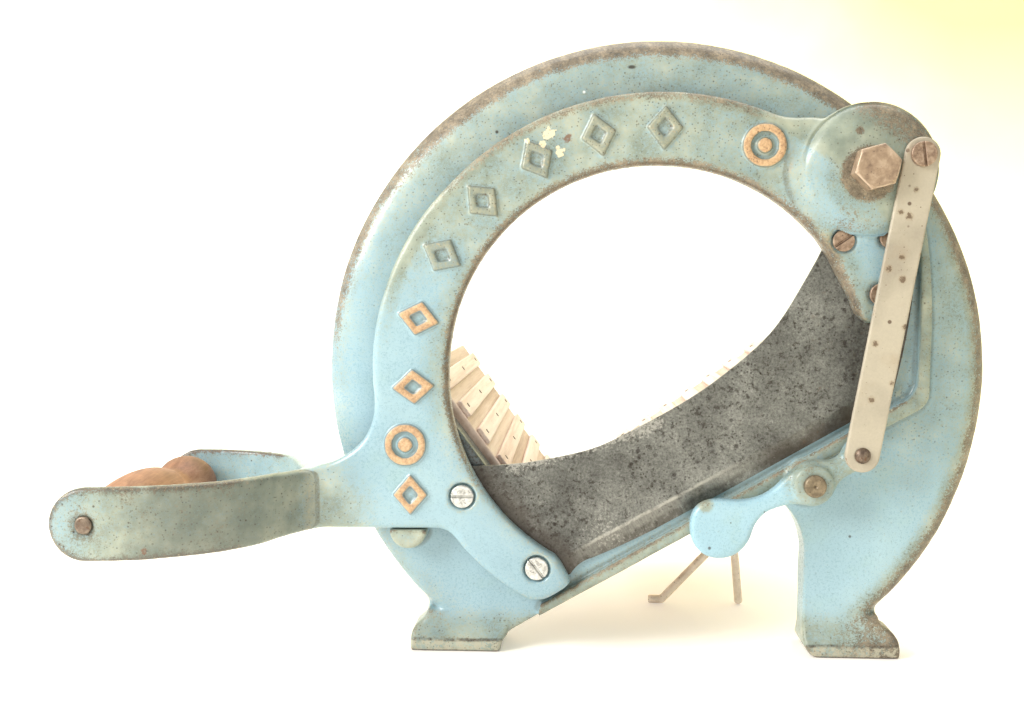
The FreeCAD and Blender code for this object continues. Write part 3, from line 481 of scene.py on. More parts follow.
        # film over the boss, centred right of the boss so its left crescent stays bare and lighter: partly wear, partly
        # a painted highlight crescent
        film.append(n.mul(n.spot((107.0, 0, 240.0), 22.0, 12.0), 0.62))
        grime = n.spot((101.3, 0, 241.8), 12.0, 6.5)
        film.append(n.mul(grime, 1.1))
        heavy.append(n.mul(n.spot((101.3, 0, 241.5), 11.5, 4.5), 1.0))
        heavy.append(n.mul(boss_wear_and_shade, 0.80))
        heavy.append(n.mul(n.spot((93.0, 0, 218.0), 3.0, 12.0), 0.52))
        heavy.append(n.mul(n.spot((96.5, 0, 262.0), 1.0, 2.6), 0.95))
        heavy.append(n.mul(n.step(n.add(r, n.mul(m0, 9.0)), 109.5, 103.0), n.step(n.z, 64.0, 120.0, 0.30, 0.80)))
        heavy.append(n.mul(n.mul(near, n.strip((-262.0, 84.0), (-205.0, 84.0), 8, 16)), 0.30))
        heavy.append(n.mul(n.step(n.x, -186.0, -206.0), n.mul(n.step(n.z, 87.0, 94.5), 0.42)))
        line.append(n.mul(n.step(n.x, -186.0, -205.0), 0.55))
        line.append(n.mul(n.step(r, 107.0, 103.5), 0.50))
    if kind == "lever":
        film.append(n.mul(n.spot((80.0, 0, 94.0), 10, 12), 0.85))
        film.append(n.mul(n.spot((97.0, 0, 100.0), 5, 12), 0.8))
        film.append(n.spot((25.5, 0, 79.5), 1.5, 4))
        heavy.append(n.mul(n.spot((25.5, 0, 80.0), 1.0, 3), 0.5))
        heavy.append(n.mul(n.spot((76.0, 0, 101.0), 3, 8), 0.34))
    film.append(0.0)
    film = n.top(*film)
    heavy = n.top(*heavy)
    line = n.top(*line) if len(line) > 1 else (line[0] if line else 0.0)
    f = n.add(film, n.mul(m0, 0.55), n.mul(b0, 0.35), n.mul(cvx, 0.65), n.mul(g, 2.6))
    fm = n.mul(n.step(f, 0.05, 1.05), 0.90)
    h = n.add(heavy, n.mul(m0, 0.7), n.mul(cvx, 0.62), n.mul(g, 2.6))
    hm = n.mul(n.step(h, 0.42, 0.86), 0.90)
    le = n.add(n.mul(cvx, 1.0), n.mul(m0, 0.4), n.mul(g, 0.9), line)
    lm = n.mul(n.step(le, 0.58, 0.88), 0.88)
    film_c = n.ramp(n.noise(16, 4, 0.6, seed=5), [(0.34, srgb(126, 134, 116)), (0.52, srgb(152, 158, 138)), (0.68, srgb(178, 180, 156))])
    heavy_c = n.ramp(n.add(n.mul(grain, 0.5), n.mul(n.noise(7, 4, 0.65, seed=7), 0.5)), [(0.36, srgb(74, 62, 50)), (0.48, srgb(112, 98, 80)), (0.58, srgb(146, 130, 108)), (0.70, srgb(178, 164, 138))])
    # darker greenish colour in the hollows: partly dirt, partly painted shade
    hollow_dirt_and_shade = n.step(n.sub(n.mul(m0, 0.30), cvx), 0.10, 0.40, 0, 0.68)
    hollow_dirt_and_shade = n.mul(hollow_dirt_and_shade, n.add(0.75, n.mul(g, 2.0)))
    col = n.mix(fm, paint, film_c)
    if kind == "arm":
        # painted shade: the near prong's middle, where it turns away from the light, darkened by up to 34 %, and the
        # boss's top-right side by up to 24 %
        prong_shade = n.mul(near, n.mul(n.step(n.x, -262.0, -225.0), n.step(n.x, -166.0, -178.0)))
        col = n.shade(col, n.sub(1.0, n.top(n.mul(prong_shade, 0.34), n.mul(boss_wear_and_shade, 0.24))))
    col = n.mix(hollow_dirt_and_shade, col, srgb(88, 92, 76))
    col = n.mix(hm, col, heavy_c)
    col = n.mix(lm, col, n.ramp(grain, [(0.4, srgb(58, 48, 40)), (0.62, srgb(104, 88, 72))]))
    if kind == "arm":
        off = n.step(n.radius(103.1, 244.0), 36.0, 42.0)
        # relief side walls darkened: partly dirt, partly painted shade
        walls = n.mul(n.mul(n.step(n.y, -12.35, -12.6), n.step(n.y, -13.4, -13.05)), off)
        col = n.mix(n.mul(walls, n.add(0.50, n.mul(g, 1.2))), col, srgb(84, 78, 60))
        edge = n.mul(n.step(n.add(cvx, n.mul(g, 1.6), n.mul(m0, 0.5)), 0.25, 0.62), n.step(n.y, -10.0, -11.0))
        col = n.mix(n.mul(edge, 0.50), col, srgb(190, 184, 152))
        tops = n.mul(n.mul(n.step(n.y, -13.0, -13.45), n.step(n.y, -17.0, -14.6)), off)
        col = n.mix(n.mul(tops, 0.45), col, n.ramp(n.add(grain, n.mul(m0, 0.6)), [(0.3, srgb(112, 110, 90)), (0.7, srgb(164, 160, 134))]))
        tan = n.top(n.mul(n.step(n.z, 190.0, 182.0), n.step(n.x, -88.0, -92.0)), n.spot((52.5, 0, 256.0), 16, 3))
        tan = n.mul(tan, n.step(n.x, -150.0, -146.0))
        rub = n.step(n.add(n.mul(n.noise(5.0, 4, 0.6, seed=11), 0.8), n.mul(g, 0.9), n.mul(tan, 0.45)), 0.50, 0.62)
        tops = n.mul(tops, n.mul(rub, n.step(tan, 0.0, 1.0, 0.30, 0.95)))
        col = n.mix(tops, col, n.ramp(n.add(grain, n.mul(m0, 0.6)), [(0.3, srgb(164, 128, 94)), (0.5, srgb(194, 156, 116)), (0.7, srgb(216, 182, 140))]))
        ivory = n.top(n.spot((-52.4, 0, 262.7), 1.2, 4.5), n.spot((-47.0, 0, 254.4), 0.8, 4.5), n.spot((-55.5, 0, 257.2), 0.4, 3.0), n.spot((-63.0, 0, 259.4), 0.3, 2.5))
        ivory = n.mul(ivory, n.step(n.y, -10.5, -11.5))
        ivory = n.step(n.add(ivory, n.mul(n.sub(n.noise(3.0, 4, 0.7, seed=12), 0.5), 2.6)), 0.66, 0.78)
        col = n.mix(n.mul(ivory, 0.9), col, srgb(240, 224, 186))
        rust = n.top(n.spot((-43.1, 0, 260.2), 0.6, 4.0), n.mul(n.spot((-239.0, 0, 65.0), 0.2, 4.2), near))
        rust = n.step(n.add(rust, n.mul(n.sub(n.noise(1.6, 4, 0.7, seed=13), 0.5), 2.0)), 0.56, 0.95)
        col = n.mix(n.mul(rust, 0.80), col, srgb(120, 78, 52))
        hm = n.top(hm, tops)
    if kind == "frame":
        rub = n.mul(n.step(n.z, 6.4, 5.8), n.step(n.y, -4.6, -5.2))
        rub = n.mul(rub, n.step(n.add(n.noise(6.0, 4, 0.7, seed=14), n.mul(g, 0.8)), 0.44, 0.56))
        col = n.mix(n.mul(rub, 0.75), col, srgb(186, 182, 160))
        pale = n.mul(n.spot((110.0, 0, 132.0), 4, 18), n.step(n.noise(4.0, 4, 0.7, seed=15), 0.55, 0.66))
        col = n.mix(n.mul(pale, 0.7), col, srgb(214, 214, 184))
        dots = n.top(n.spot((-78.9, 0, 265.1), 0.4, 0.8), n.spot((-11.5, 0, 296.6), 0.5, 0.9, sx=0.5), n.spot((-136.0, 0, 177.0), 1.6, 1.2))
        col = n.mix(n.mul(dots, n.step(n.y, 7.0, 5.0, 0, 0.9)), col, srgb(52, 44, 34))
        col = n.mix(n.mul(n.spot((-35.2, 0, 284.5), 0.3, 0.7), 0.9), col, srgb(240, 244, 244))
        foot = n.mul(n.spot((125.9, 0, 16.1), 1.5, 7.0), n.step(n.noise(3.0, 4, 0.7, seed=16), 0.46, 0.60))
        col = n.mix(n.mul(foot, 0.8), col, srgb(150, 124, 86))
        # mix in the dark marks: the pad edge line, and the painted shade at the bottom and beside the left board
        col = n.mix(n.mul(n.top(*dark), n.add(0.80, n.mul(g, 1.6))), col, srgb(58, 48, 38))
    # pits and specks
    dens = n.step(n.add(film, n.mul(m0, 1.2)), 0.0, 0.8)
    s1 = n.specks(6.0, 0.34, 0.095, seed=1, soft=0.03)
    s2 = n.specks(2.6, 0.42, 0.17, seed=2, soft=0.06)
    s3 = n.specks(18.0, 0.18, 0.055, seed=4, soft=0.014)
    s4 = n.mul(n.specks(1.5, 0.6, 0.26, seed=6, soft=0.10), dens)
    specks = n.top(s1, n.mul(s2, n.add(0.25, n.mul(dens, 0.6))), s3, n.mul(s4, 0.7))
    if kind == "arm":
        s5 = n.mul(n.specks(2.1, 0.55, 0.26, seed=8, soft=0.07), n.mul(near, n.step(n.noise(8, 4, 0.7, seed=21), 0.40, 0.60)))
        specks = n.top(specks, s5)
    col = n.mix(n.mul(specks, 0.80), col, n.ramp(n.noise(5, 2, 0.5, seed=9), [(0.4, srgb(50, 44, 38)), (0.6, srgb(92, 78, 62))]))
    rough = n.add(0.30, n.mul(fm, 0.16), n.mul(hm, 0.26), n.mul(specks, 0.2), n.mul(g, 0.5))
    hgt = n.add(n.mul(hm, -0.5), n.mul(specks, -0.9), n.mul(grain, 0.40), n.mul(mid, 0.45), n.mul(tiny, 0.15))
    nrm = n.bump(hgt, 0.16, 0.8)
    return n.done(col, rough, nrm, Specular_IOR_Level=0.5, Coat_Weight=0.25, Coat_Roughness=0.16)


def blade_steel():
    n = Net("blade_steel")
    big = n.noise(34, 4, 0.55, warp=0.3)
    mid = n.noise(9, 6, 0.65, warp=0.4)
    fine = n.noise(1.4, 4, 0.7)
    g = n.sub(fine, 0.5)
    m0 = n.sub(mid, 0.5)
    base = n.ramp(n.add(n.mul(big, 0.6), n.mul(mid, 0.4)), [(0.36, srgb(88, 88, 84)), (0.50, srgb(116, 117, 112)), (0.64, srgb(142, 143, 137))])
    base = n.shade(base, n.add(1.0, n.mul(g, 2.2), n.mul(n.sub(n.noise(0.7, 2, 0.7, seed=20), 0.5), 1.1)))
    # distance u along the cutting edge and v above it
    a = math.radians(29.3)
    v = n.add(n.mul(n.sub(n.x, -46.0), -math.sin(a)), n.mul(n.sub(n.z, 39.3), math.cos(a)))
    u = n.add(n.mul(n.sub(n.x, -46.0), math.cos(a)), n.mul(n.sub(n.z, 39.3), math.sin(a)))
    wave = n.mul(n.sub(n.noise(30, 3, seed=5), 0.5), 2.4)
    vv = n.add(v, wave)
    bev = n.step(vv, 8.6, 7.6)
    bright = n.mul(n.mul(n.step(vv, 9.2, 8.2), n.step(vv, 6.6, 7.8)), n.mul(n.step(u, 8, 34), n.step(u, 120, 70)))
    bright = n.mul(bright, n.step(n.noise(5, 3, 0.6, seed=17), 0.34, 0.56, 0.25, 1.0))
    comb = n.t.nodes.new("ShaderNodeCombineXYZ")
    n.put(n.mul(u, 1.3), comb.inputs[0])
    n.put(n.mul(v, 0.12), comb.inputs[1])
    hatch = n.noise(1.0, 3, 0.65, vec=comb.outputs[0])
    bevc = n.ramp(hatch, [(0.30, srgb(108, 107, 101)), (0.52, srgb(132, 131, 124)), (0.72, srgb(154, 153, 145))])
    base = n.mix(n.mul(bev, n.step(u, 40, 130, 0.62, 0.18)), base, bevc)
    low = n.mul(n.step(vv, 4.4, 2.0), n.step(n.add(n.noise(4, 4, 0.7, seed=18), n.mul(g, 0.6)), 0.40, 0.56))
    base = n.mix(n.mul(low, 0.55), base, srgb(64, 60, 54))
    # pitting and stains
    area = n.step(n.add(n.noise(22, 4, 0.6, seed=4), n.step(n.x, -20.0, -70.0, 0, 0.10)), 0.36, 0.58, 0.20, 1.0)
    # blade darker towards its left end by the arm's toe and its right end by the link: partly dirt, partly painted
    # shade from the parts over it
    left = n.mul(n.step(n.x, 10.0, -60.0), 0.30)
    base = n.shade(base, n.sub(1.0, n.top(left, n.mul(n.step(n.x, 70.0, 120.0), 0.26))))
    hold = n.sub(1.0, n.mul(bev, 0.35))
    pits = n.top(n.specks(4.2, 0.5, 0.24, seed=1, soft=0.08), n.specks(1.9, 0.6, 0.27, seed=2, soft=0.10), n.specks(9.0, 0.3, 0.13, seed=3, soft=0.05))
    pits = n.mul(n.mul(pits, area), hold)
    blot = n.mul(n.step(n.add(n.noise(3.2, 5, 0.75, seed=6), n.mul(n.sub(area, 0.5), 0.08)), 0.565, 0.66), hold)
    col = n.mix(n.mul(blot, 0.72), base, srgb(52, 46, 40))
    col = n.mix(n.mul(pits, 0.80), col, srgb(44, 37, 32))
    # grime and painted shadow where the arm and the link end cover the blade
    grime = n.top(n.strip((-86.0, 86.0), (-44.0, 42.0), 2.0, 12.0, n.mul(m0, 16.0)),
                  n.strip((118.0, 128.0), (123.0, 172.0), 6.0, 17.0, n.mul(m0, 18.0)),
                  n.strip((60.0, 100.0), (112.0, 128.0), 1.0, 9.0, n.mul(m0, 14.0)))
    col = n.mix(n.mul(grime, 0.62), col, srgb(62, 50, 40))
    rusty = n.mul(n.step(n.noise(6, 5, 0.7, seed=9), 0.60, 0.72), n.step(n.x, 30.0, 100.0, 0.1, 0.5))
    col = n.mix(rusty, col, srgb(104, 84, 64))
    # rubbed light strip along the upper edge on the left, and frosty patches
    toprub = n.strip((-70.0, 97.0), (0.0, 118.0), 2.0, 6.0, n.mul(m0, 9.0))
    frost = n.spot((-22.0, 0, 62.0), 2, 20)
    lightm = n.step(n.add(n.mul(n.top(n.mul(toprub, 0.75), n.mul(frost, 0.42)), 1.0), n.mul(g, 3.0)), 0.45, 0.85)
    col = n.mix(n.mul(lightm, 0.55), col, srgb(188, 186, 178))
    col = n.mix(n.mul(bright, 0.62), col, srgb(204, 202, 192))
    rough = n.add(0.40, n.mul(pits, 0.3), n.mul(blot, 0.25), n.mul(bev, -0.06), n.mul(g, 0.4))
    h = n.add(n.mul(pits, -0.9), n.mul(blot, -0.35), n.mul(fine, 0.4), n.mul(n.mul(hatch, bev), 0.35))
    nrm = n.bump(h, 0.08, 0.8)
    metal = n.add(0.45, n.mul(pits, -0.3), n.mul(bev, 0.2), n.mul(grime, -0.25))
    return n.done(col, rough, nrm, metal)


def steel(name, dark, midc, light, rough0=0.38, metal0=0.85, rust=0.3, rustc=(120, 78, 50), size=4.0, edge=True):
    n = Net(name)
    mid = n.noise(size, 5, 0.62, warp=0.3)
    fine = n.noise(0.7, 4, 0.65)
    col = n.ramp(mid, [(0.30, srgb(*dark)), (0.52, srgb(*midc)), (0.74, srgb(*light))])
    cvx = n.cvx()
    if edge:
        col = n.mix(n.step(n.add(n.mul(cvx, 2.0), n.mul(n.sub(fine, 0.5), 0.3)), 0.10, 0.40, 0, 0.75), col, srgb(*light))
        col = n.mix(n.step(n.sub(n.mul(n.sub(mid, 0.5), 0.3), n.mul(cvx, 2.0)), 0.12, 0.5, 0, 0.8), col, srgb(*(int(k * 0.45) for k in dark)))
    rs = n.step(n.noise(size * 0.8, 5, 0.7, seed=3), 0.70 - rust * 0.35, 0.80 - rust * 0.35)
    col = n.mix(n.mul(rs, 0.8), col, n.ramp(fine, [(0.3, srgb(*(int(k * 0.6) for k in rustc))), (0.7, srgb(*rustc))]))
    pits = n.specks(1.5, 0.4, 0.26, seed=5, soft=0.08)
    col = n.mix(n.mul(pits, 0.6), col, srgb(44, 38, 34))
    rough = n.add(rough0, n.mul(rs, 0.35), n.mul(n.sub(mid, 0.5), 0.3), n.mul(pits, 0.2))
    nrm = n.bump(n.add(n.mul(pits, -0.8), n.mul(fine, 0.5), n.mul(rs, 0.3)), 0.06, 0.8)
    metal = n.add(metal0, n.mul(rs, -0.6 * metal0))
    return n.done(col, rough, nrm, metal)


def link_paint():
    n = Net("link_metal")
    mid = n.noise(10, 5, 0.6, warp=0.3)
    fine = n.noise(1.2, 4, 0.65)
    cvx = n.cvx()
    col = n.ramp(n.noise(26, 3, seed=2), [(0.35, srgb(164, 155, 138)), (0.6, srgb(186, 177, 158))])
    col = n.shade(col, n.lin(fine, 0.3, 0.7, 0.94, 1.04))
    worn = n.step(n.add(n.mul(cvx, 1.6), n.mul(n.sub(mid, 0.5), 0.8), n.mul(n.sub(fine, 0.5), 0.5)), 0.30, 0.46)
    col = n.mix(n.mul(worn, 0.8), col, n.ramp(fine, [(0.35, srgb(98, 74, 54)), (0.65, srgb(150, 122, 94))]))
    sp = n.top(n.specks(4.0, 0.4, 0.14, seed=1, soft=0.04), n.specks(1.8, 0.3, 0.2, seed=2, soft=0.06), n.specks(9.0, 0.3, 0.12, seed=3, soft=0.03))
    col = n.mix(n.mul(sp, 0.85), col, srgb(84, 60, 44))
    film = n.step(n.noise(16, 4, 0.6, seed=7), 0.55, 0.72, 0, 0.40)
    col = n.mix(film, col, srgb(170, 152, 128))
    blots = n.top(n.spot((119.5, 0, 221.0), 0.3, 3.2), n.spot((115.5, 0, 223.0), 0.2, 2.6), n.spot((122.5, 0, 233.5), 0.2, 2.4), n.spot((110.4, 0, 196.0), 0.3, 3.0), n.spot((116.6, 0, 201.5), 0.3, 2.6),
                  n.spot((117.0, 0, 191.0), 0.4, 2.8), n.spot((104.8, 0, 160.0), 0.3, 2.8), n.spot((118.6, 0, 168.0), 0.3, 2.6), n.spot((103.4, 0, 133.0), 0.3, 2.8), n.spot((113.2, 0, 141.0), 0.2, 2.6))
    bn = n.sub(n.noise(1.3, 4, 0.75, seed=8), 0.5)
    spots = n.step(n.add(blots, n.mul(bn, 2.2)), 0.58, 0.90)
    halo = n.step(n.add(blots, n.mul(bn, 1.0)), 0.10, 0.80, 0, 0.40)
    col = n.mix(halo, col, srgb(158, 136, 108))
    col = n.mix(n.mul(spots, 0.78), col, srgb(88, 66, 46))
    rough = n.add(0.42, n.mul(worn, 0.3), n.mul(sp, 0.3), n.mul(n.sub(fine, 0.5), 0.2))
    nrm = n.bump(n.add(n.mul(worn, -0.6), n.mul(sp, -0.8), n.mul(fine, 0.3)), 0.1, 0.8)
    return n.done(col, rough, nrm, n.mul(worn, 0.3), Coat_Weight=0.12, Coat_Roughness=0.3)


# -------------------------------------------------------------------- woods
def wood(name, c0, c1, c2, ring=5.0, hollow_dirt_and_shade=0.5, seed=0.0, along="y"):
    n = Net(name)
    k = {"y": (1.0, 0.045, 1.0), "x": (0.045, 1.0, 1.0)}[along]
    warped = n.stretch(k, (seed * 17, seed * 3, seed * 29))
    coarse = n.noise(ring * 2.5, 3, 0.5, vec=warped, warp=0.6)
    grain = n.noise(ring * 0.5, 5, 0.65, vec=warped, warp=0.3)
    fibre = n.noise(0.55, 3, 0.6, vec=n.stretch(tuple(q if q == 1 else 0.02 for q in k), (seed, 0, 0)))
    f = n.add(n.mul(coarse, 0.45), n.mul(grain, 0.40), n.mul(fibre, 0.15))
    col = n.ramp(f, [(0.36, srgb(*c0)), (0.50, srgb(*c1)), (0.64, srgb(*c2))])
    pores = n.step(n.noise(0.5, 2, 0.5, vec=n.stretch(tuple(q if q == 1 else 0.06 for q in k), (seed + 5, 2, 1))), 0.66, 0.74)
    col = n.mix(n.mul(pores, 0.35), col, srgb(*(int(q * 0.6) for q in c0)))
    cvx = n.cvx()
    mid = n.noise(12, 4, 0.6, seed=seed + 2)
    # darker brown in the hollows: partly dirt, partly painted shade
    d = n.step(n.sub(n.mul(n.sub(mid, 0.5), 0.5), cvx), 0.08, 0.50, 0, hollow_dirt_and_shade)
    col = n.mix(d, col, srgb(112, 78, 56))
    spots = n.mul(n.specks(11, 0.25, 0.1, seed=seed + 3, soft=0.03), 0.7)
    col = n.mix(spots, col, srgb(104, 72, 54))
    pale = n.step(n.add(cvx, n.mul(n.sub(mid, 0.5), 0.3)), 0.15, 0.5, 0, 0.5)
    col = n.mix(pale, col, srgb(*(min(255, int(q * 1.06)) for q in c2)))
    if name == "grip_wood":
        # painted shade: the far bulge's lower side darkened by up to 42 %
        far_bulge_shade = n.mul(n.step(n.y, 14.0, 34.0), n.step(n.add(n.z, n.mul(n.x, -0.5)), 232.0, 205.0, 0.45, 1.0))
        col = n.shade(col, n.sub(1.0, n.mul(far_bulge_shade, 0.42)))
        col = n.shade(col, n.step(n.noise(9, 4, 0.6, seed=6), 0.35, 0.65, 0.86, 1.06))
    rough = n.add(0.55, n.mul(n.sub(grain, 0.5), 0.25), n.mul(d, 0.15))
    nrm = n.bump(n.add(n.mul(fibre, 0.5), n.mul(grain, 0.5), n.mul(pores, -0.6)), 0.12, 0.7)
    return n.done(col, rough, nrm)


MATS = {
    "enamel_frame": enamel("frame"),
    "enamel_arm": enamel("arm"),
    "enamel_lever": enamel("lever"),
    "blade_steel": blade_steel(),
    "screw_bright": steel("screw_bright", (150, 150, 146), (206, 206, 202), (244, 244, 240), 0.30, 0.65, 0.05, size=2.5),
    "screw_brown": steel("screw_brown", (112, 90, 74), (156, 132, 112), (196, 174, 152), 0.38, 0.35, 0.20, size=2.5),
    "bolt_steel": steel("bolt_steel", (132, 110, 92), (172, 148, 124), (206, 184, 160), 0.38, 0.30, 0.12, size=5.0),
    "washer_steel": steel("washer_steel", (92, 84, 76), (128, 120, 110), (168, 160, 150), 0.42, 0.7, 0.35, size=4.0),
    "link_metal": link_paint(),
    "pin_brass": steel("pin_brass", (92, 80, 64), (126, 112, 90), (168, 152, 126), 0.40, 0.35, 0.30, (100, 76, 52), size=3.5),
    "grip_wood": wood("grip_wood", (134, 90, 66), (166, 120, 92), (192, 150, 120), 5.0, 0.45, 4.0),
    "rivet_steel": steel("rivet_steel", (78, 66, 58), (114, 98, 84), (154, 138, 120), 0.42, 0.5, 0.40, size=3.0),
    "trough_wood": wood("trough_wood", (166, 138, 122), (200, 176, 160), (220, 202, 190), 6.0, 0.60, 1.0),
    "batten_wood": wood("batten_wood", (198, 170, 156), (224, 204, 193), (238, 222, 213), 5.0, 0.45, 2.0),
    "nail_steel": steel("nail_steel", (80, 72, 64), (116, 108, 100), (150, 144, 136), 0.45, 0.7, 0.5, size=2.0),
    # very pale steel: partly its own colour, partly painted light, lightened to the washed-out look of the brightly lit
    # stand
    "strap_steel": steel("strap_steel", (190, 172, 154), (222, 206, 190), (240, 228, 214), 0.40, 0.20, 0.05, size=7.0),
}

# ---------------------------------------------------------------- the pieces
ORNAMENTS = [(120.4 * math.cos(math.radians(t)), 144.6 + 120.4 * math.sin(math.radians(t)), 14.5)
             for t in (183.5, 167.0, 151.0, 135.0, 119.0, 103.5, 88.0)]
ORNAMENTS += [(52.5, 256.0, 13.5), (-124.5, 108.0, 13.5), (-122.0, 82.6, 13.5)]
SEATS = [(-95.9, 81.8, 10.0), (-58.2, 45.3, 10.0), (91.3, 209.8, 9.5), (113.8, 211.2, 9.5), (109.6, 183.6, 9.5)]


def arm_melt(p):
    """how freely the arm's surface may round over: kept near relief, screw seats, the boss and the back"""
    w = np.ones(len(p))
    for x, z, r in ORNAMENTS + SEATS:
        d = np.hypot(p[:, 0] - x, p[:, 2] - z)
        w = np.minimum(w, np.clip((d - r) / 2.0, 0, 1))
    d = np.hypot(p[:, 0] - 103.1, p[:, 2] - 244.0)
    w = np.where((d < 15) & (p[:, 1] < -12.5), 0.0, w)
    inner = np.hypot(p[:, 0], p[:, 2] - 144.6)
    w = np.where(inner < 106.5, w * 0.30, w)
    w = w * np.clip((-5.0 - p[:, 1]) / 2.5, 0, 1) * np.where(p[:, 0] < -188, 0, 1)
    fork = np.clip((-170.0 - p[:, 0]) / 16.0, 0, 1) * 0.32
    root = np.clip(1.35 - np.abs(p[:, 0] + 165.0) / 13.0, 0, 1)
    return np.maximum(np.maximum(w, fork), root)


def lever_melt(p):
    d = np.hypot(p[:, 0] - 78.0, p[:, 2] - 90.2)
    e = np.hypot(p[:, 0] - 101.0, p[:, 2] - 105.2)
    return np.clip((d - 6.4) / 2.0, 0, 1) * np.clip((e - 5.0) / 1.5, 0, 1) * np.clip((-9.6 - p[:, 1]) / 1.0, 0, 1)


def foot_melt(p):
    """the hollows above the feet and the pads' front edges are rounded over"""
    w = np.zeros(len(p))
    for x, z in ((117.0, 20.5), (-117.0, 20.5)):
        w = np.maximum(w, np.clip((11.0 - np.hypot(p[:, 0] - x, p[:, 2] - z)) / 5.0, 0, 1))
    pad = np.clip((9.5 - p[:, 2]) / 2.0, 0, 1) * np.clip((-2.5 - p[:, 1]) / 1.5, 0, 1)
    return np.maximum(w, 0.6 * pad)


def ring_dome(p):
    """the ring's face falls away towards its outer edge"""
    r = np.hypot(p[:, 0], p[:, 2] - 144.6)
    k = np.clip((r - 149.0) / 17.0, 0, 1) ** 2 * np.clip((p[:, 2] - 62.0) / 40.0, 0, 1)
    front = np.clip(1.0 - p[:, 1] / 13.0, 0, 1)
    p[:, 1] += 5.0 * k * front
    return p


def boss_dome(p):
    """the boss falls away towards its edge and flares softly into the band on the left and below"""
    d = np.hypot(p[:, 0] - 103.1, p[:, 2] - 244.0)
    k = np.clip((d - 18.0) / 14.0, 0, 1) ** 1.6 * np.clip((37.0 - d) / 3.0, 0, 1)
    away = np.clip((np.hypot(p[:, 0] - 125.4, p[:, 2] - 250.2) - 6.0) / 5.0, 0, 1)
    dome = 2.6 * k * away * np.clip((-13.2 - p[:, 1]) / 2.0, 0, 1)
    turn = np.degrees(np.arctan2(p[:, 2] - 244.0, p[:, 0] - 103.1)) % 360.0
    side = np.clip((turn - 150.0) / 34.0, 0, 1) * np.clip((262.0 - turn) / 30.0, 0, 1)
    side = side * side * (3 - 2 * side)
    s = np.clip((46.0 - d) / 25.0, 0, 1)
    front = p[:, 1] < -10.6
    pick = front & (turn > 176) & (turn < 200) & (d > 16) & (d < 50)
    bins = np.arange(16, 51)
    idx = np.digitize(d[pick], bins) - 1
    now = np.array([np.median(p[pick, 1][idx == i]) if (idx == i).any() else np.nan for i in range(len(bins))])
    ok = ~np.isnan(now)
    have = np.interp(d, bins[ok] + 0.5, now[ok])
    top, base = np.interp((21.0, 47.0), bins[ok] + 0.5, now[ok])
    want = base + (top - base) * s * s * (3 - 2 * s)
    flare = (want - have) * np.clip((d - 19.0) / 3.0, 0, 1) * np.clip((48.0 - d) / 4.0, 0, 1)
    flare = flare * np.clip((-10.2 - p[:, 1]) / 1.6, 0, 1)
    for x, z, r in SEATS:
        flare = flare * (1.0 - 0.6 * np.clip((r - 1.0 - np.hypot(p[:, 0] - x, p[:, 2] - z)) / 3.0, 0, 1))
    p[:, 1] += dome * (1 - side) + flare * side
    return p


PLAN = {
    "frame": ("enamel_frame", 0.95, 7, ((55.0, 0.22), (14.0, 0.12), (3.5, 0.05)), 12),
    "blade_arm": ("enamel_arm", 0.80, 5, ((40.0, 0.18), (11.0, 0.10), (3.0, 0.05)), 12),
    "gauge_lever": ("enamel_lever", 0.55, 16, ((20.0, 0.12), (5.0, 0.05)), 14),
    "pivot_bolt": ("bolt_steel", 0.40, 4, ((6.0, 0.08), (2.0, 0.05)), 10),
    "link_bar": ("link_metal", 0.50, 2, ((18.0, 0.06),), 6),
    "link_screw": ("screw_brown", 0.24, 2, ((3.0, 0.04),), 8),
    "link_rivet": ("rivet_steel", 0.22, 2, ((3.0, 0.04),), 8),
    "toe_screws": ("screw_bright", 0.24, 2, ((3.0, 0.04),), 8),
    "tab_screws": ("screw_brown", 0.24, 2, ((3.0, 0.04),), 8),
    "gauge_pin": ("pin_brass", 0.30, 3, ((4.0, 0.06),), 10),
    "handle_rod": ("rivet_steel", 0.45, 3, ((8.0, 0.05),), 8),
    "handle_grip": ("grip_wood", 0.90, 4, ((20.0, 0.20), (6.0, 0.06)), 12),
    "left_board": ("trough_wood", 1.10, 3, ((40.0, 0.15),), 8),
    "right_board": ("trough_wood", 1.10, 3, ((40.0, 0.15),), 8),
    "battens": ("batten_wood", 0.80, 3, ((30.0, 0.10),), 6),
    "trough_strap": ("strap_steel", 0.70, 1, (), 6),
    "rear_stand": ("strap_steel", 0.55, 3, ((9.0, 0.10),), 8),
    "pivot_nut": ("bolt_steel", 0.40, 3, ((5.0, 0.05),), 8),
}
for k_, (node_, (mat_, vox_, soft_, lumps_, reach_)) in enumerate(PLAN.items()):
    extra = {"blade_arm": {"melt": arm_melt, "turns": 34, "sculpt": boss_dome},
             "frame": {"melt": foot_melt, "turns": 16, "sculpt": ring_dome},
             "gauge_lever": {"melt": lever_melt, "turns": 22}}.get(node_, {})
    piece = dense(node_, vox_, soft_, lumps_, seed=k_ + 1, reach=reach_, **extra)
    piece.data.materials.append(MATS[mat_])

KEEP = {
    "blade": "blade_steel", "pivot_shim": "washer_steel", "pivot_washer": "washer_steel", "link_washer": "washer_steel",
    "gauge_washer": "washer_steel", "gauge_nut": "bolt_steel", "gauge_nut_washer": "washer_steel",
    "batten_nails": "nail_steel", "corner_nails": "nail_steel", "trough_screws": "nail_steel", "stand_screw": "nail_steel",
}
for node_, mat_ in KEEP.items():
    o_ = NODES[node_]
    if not o_.material_slots:
        o_.data.materials.append(MATS[mat_])
    for s_ in o_.material_slots:
        s_.link = "OBJECT"
        s_.material = MATS[mat_]

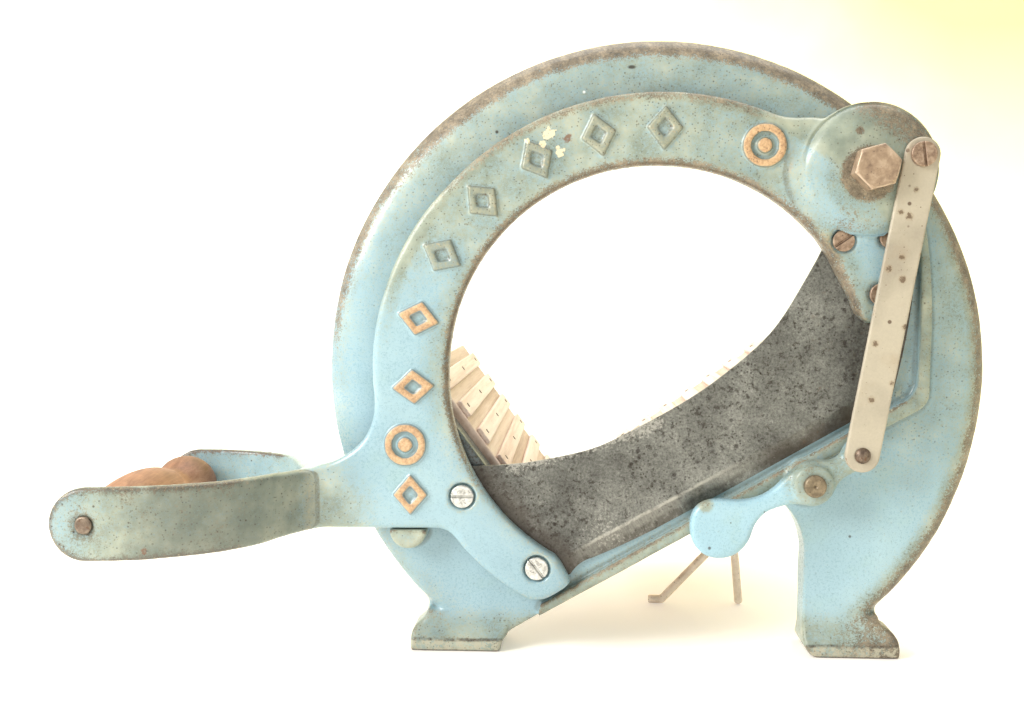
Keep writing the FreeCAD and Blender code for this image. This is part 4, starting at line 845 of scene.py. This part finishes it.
# ------------------------------------------------------------------- stage
W, D0, D1, RAD, H = 4.0, -2.5, 1.5, 0.7, 3.2
prof = [(D0, 0.0), (D1, 0.0)]
for i in range(1, 17):
    a_ = math.pi / 2 * i / 16
    prof.append((D1 + RAD * math.sin(a_), RAD * (1 - math.cos(a_))))
prof.append((D1 + RAD, H))
vs = [(x, y, z) for y, z in prof for x in (-W, W)]
fs = [(2 * i, 2 * i + 1, 2 * i + 3, 2 * i + 2) for i in range(len(prof) - 1)]
fm = bpy.data.meshes.new("floor")
fm.from_pydata(vs, [], fs)
fm.polygons.foreach_set("use_smooth", np.ones(len(fm.polygons), bool))
floor = bpy.data.objects.new("floor", fm)
bpy.context.scene.collection.objects.link(floor)
n = Net("paper")
tone = n.add(n.lin(n.z, 200.0, 1100.0), n.lin(n.x, -500.0, 900.0, -0.42, 0.30))
col = n.ramp(tone, [(0.0, srgb(250, 249, 246)), (0.30, srgb(252, 250, 226)), (1.0, srgb(248, 244, 150))])
# painted shadow with the wood's reflected colour: a peach tint on the floor beneath the machine
painted_floor_shade = n.mul(n.step(n.z, 60.0, 0.0), n.strip((-30.0, 0.0), (60.0, 0.0), 20.0, 160.0))
col = n.mix(n.mul(painted_floor_shade, n.step(n.y, 420.0, 120.0, 0, 0.22)), col, srgb(250, 228, 206))
creamy = n.mul(n.step(n.z, 60.0, 0.0), n.step(n.x, 120.0, 330.0))
col = n.mix(n.mul(creamy, 0.5), col, srgb(250, 244, 206))
col = n.mix(n.step(n.noise(300, 3), 0.4, 0.7, 0, 0.15), col, srgb(252, 244, 232))
fm.materials.append(n.done(col, n.lin(n.noise(200, 2), 0, 1, 0.7, 0.85), n.bump(n.noise(2.5, 3), 0.05, 0.3)))
n.put(col, n.b.inputs["Emission Color"])
n.put(n.step(n.y, 500.0, 1500.0, 0.24, 0.40), n.b.inputs["Emission Strength"])

# ------------------------------------------------------------------- light
world = bpy.data.worlds.new("studio")
bpy.context.scene.world = world
world.use_nodes = True
bg = world.node_tree.nodes["Background"]
bg.inputs[0].default_value = (*srgb(255, 251, 243), 1.0)
bg.inputs[1].default_value = 0.66


def area(name, loc, look, size, power, colour):
    l = bpy.data.lights.new(name, "AREA")
    l.shape = "RECTANGLE"
    l.size, l.size_y = size
    l.energy = power
    l.color = colour
    o = bpy.data.objects.new(name, l)
    bpy.context.scene.collection.objects.link(o)
    o.location = loc
    o.rotation_euler = (Vector(look) - Vector(loc)).to_track_quat("-Z", "Y").to_euler()
    return o


area("key", (-1.30, -0.80, 0.95), (0.0, -0.05, 0.14), (0.8, 0.8), 34.0, (1.0, 0.985, 0.955))
area("top", (0.1, 0.5, 1.7), (0.0, 0.1, 0.0), (1.6, 1.2), 20.0, (1.0, 0.98, 0.94))
area("wall", (0.3, 0.4, 1.9), (0.1, 2.2, 1.1), (2.0, 1.0), 26.0, (1.0, 0.98, 0.9))

bpy.context.view_layer.update()
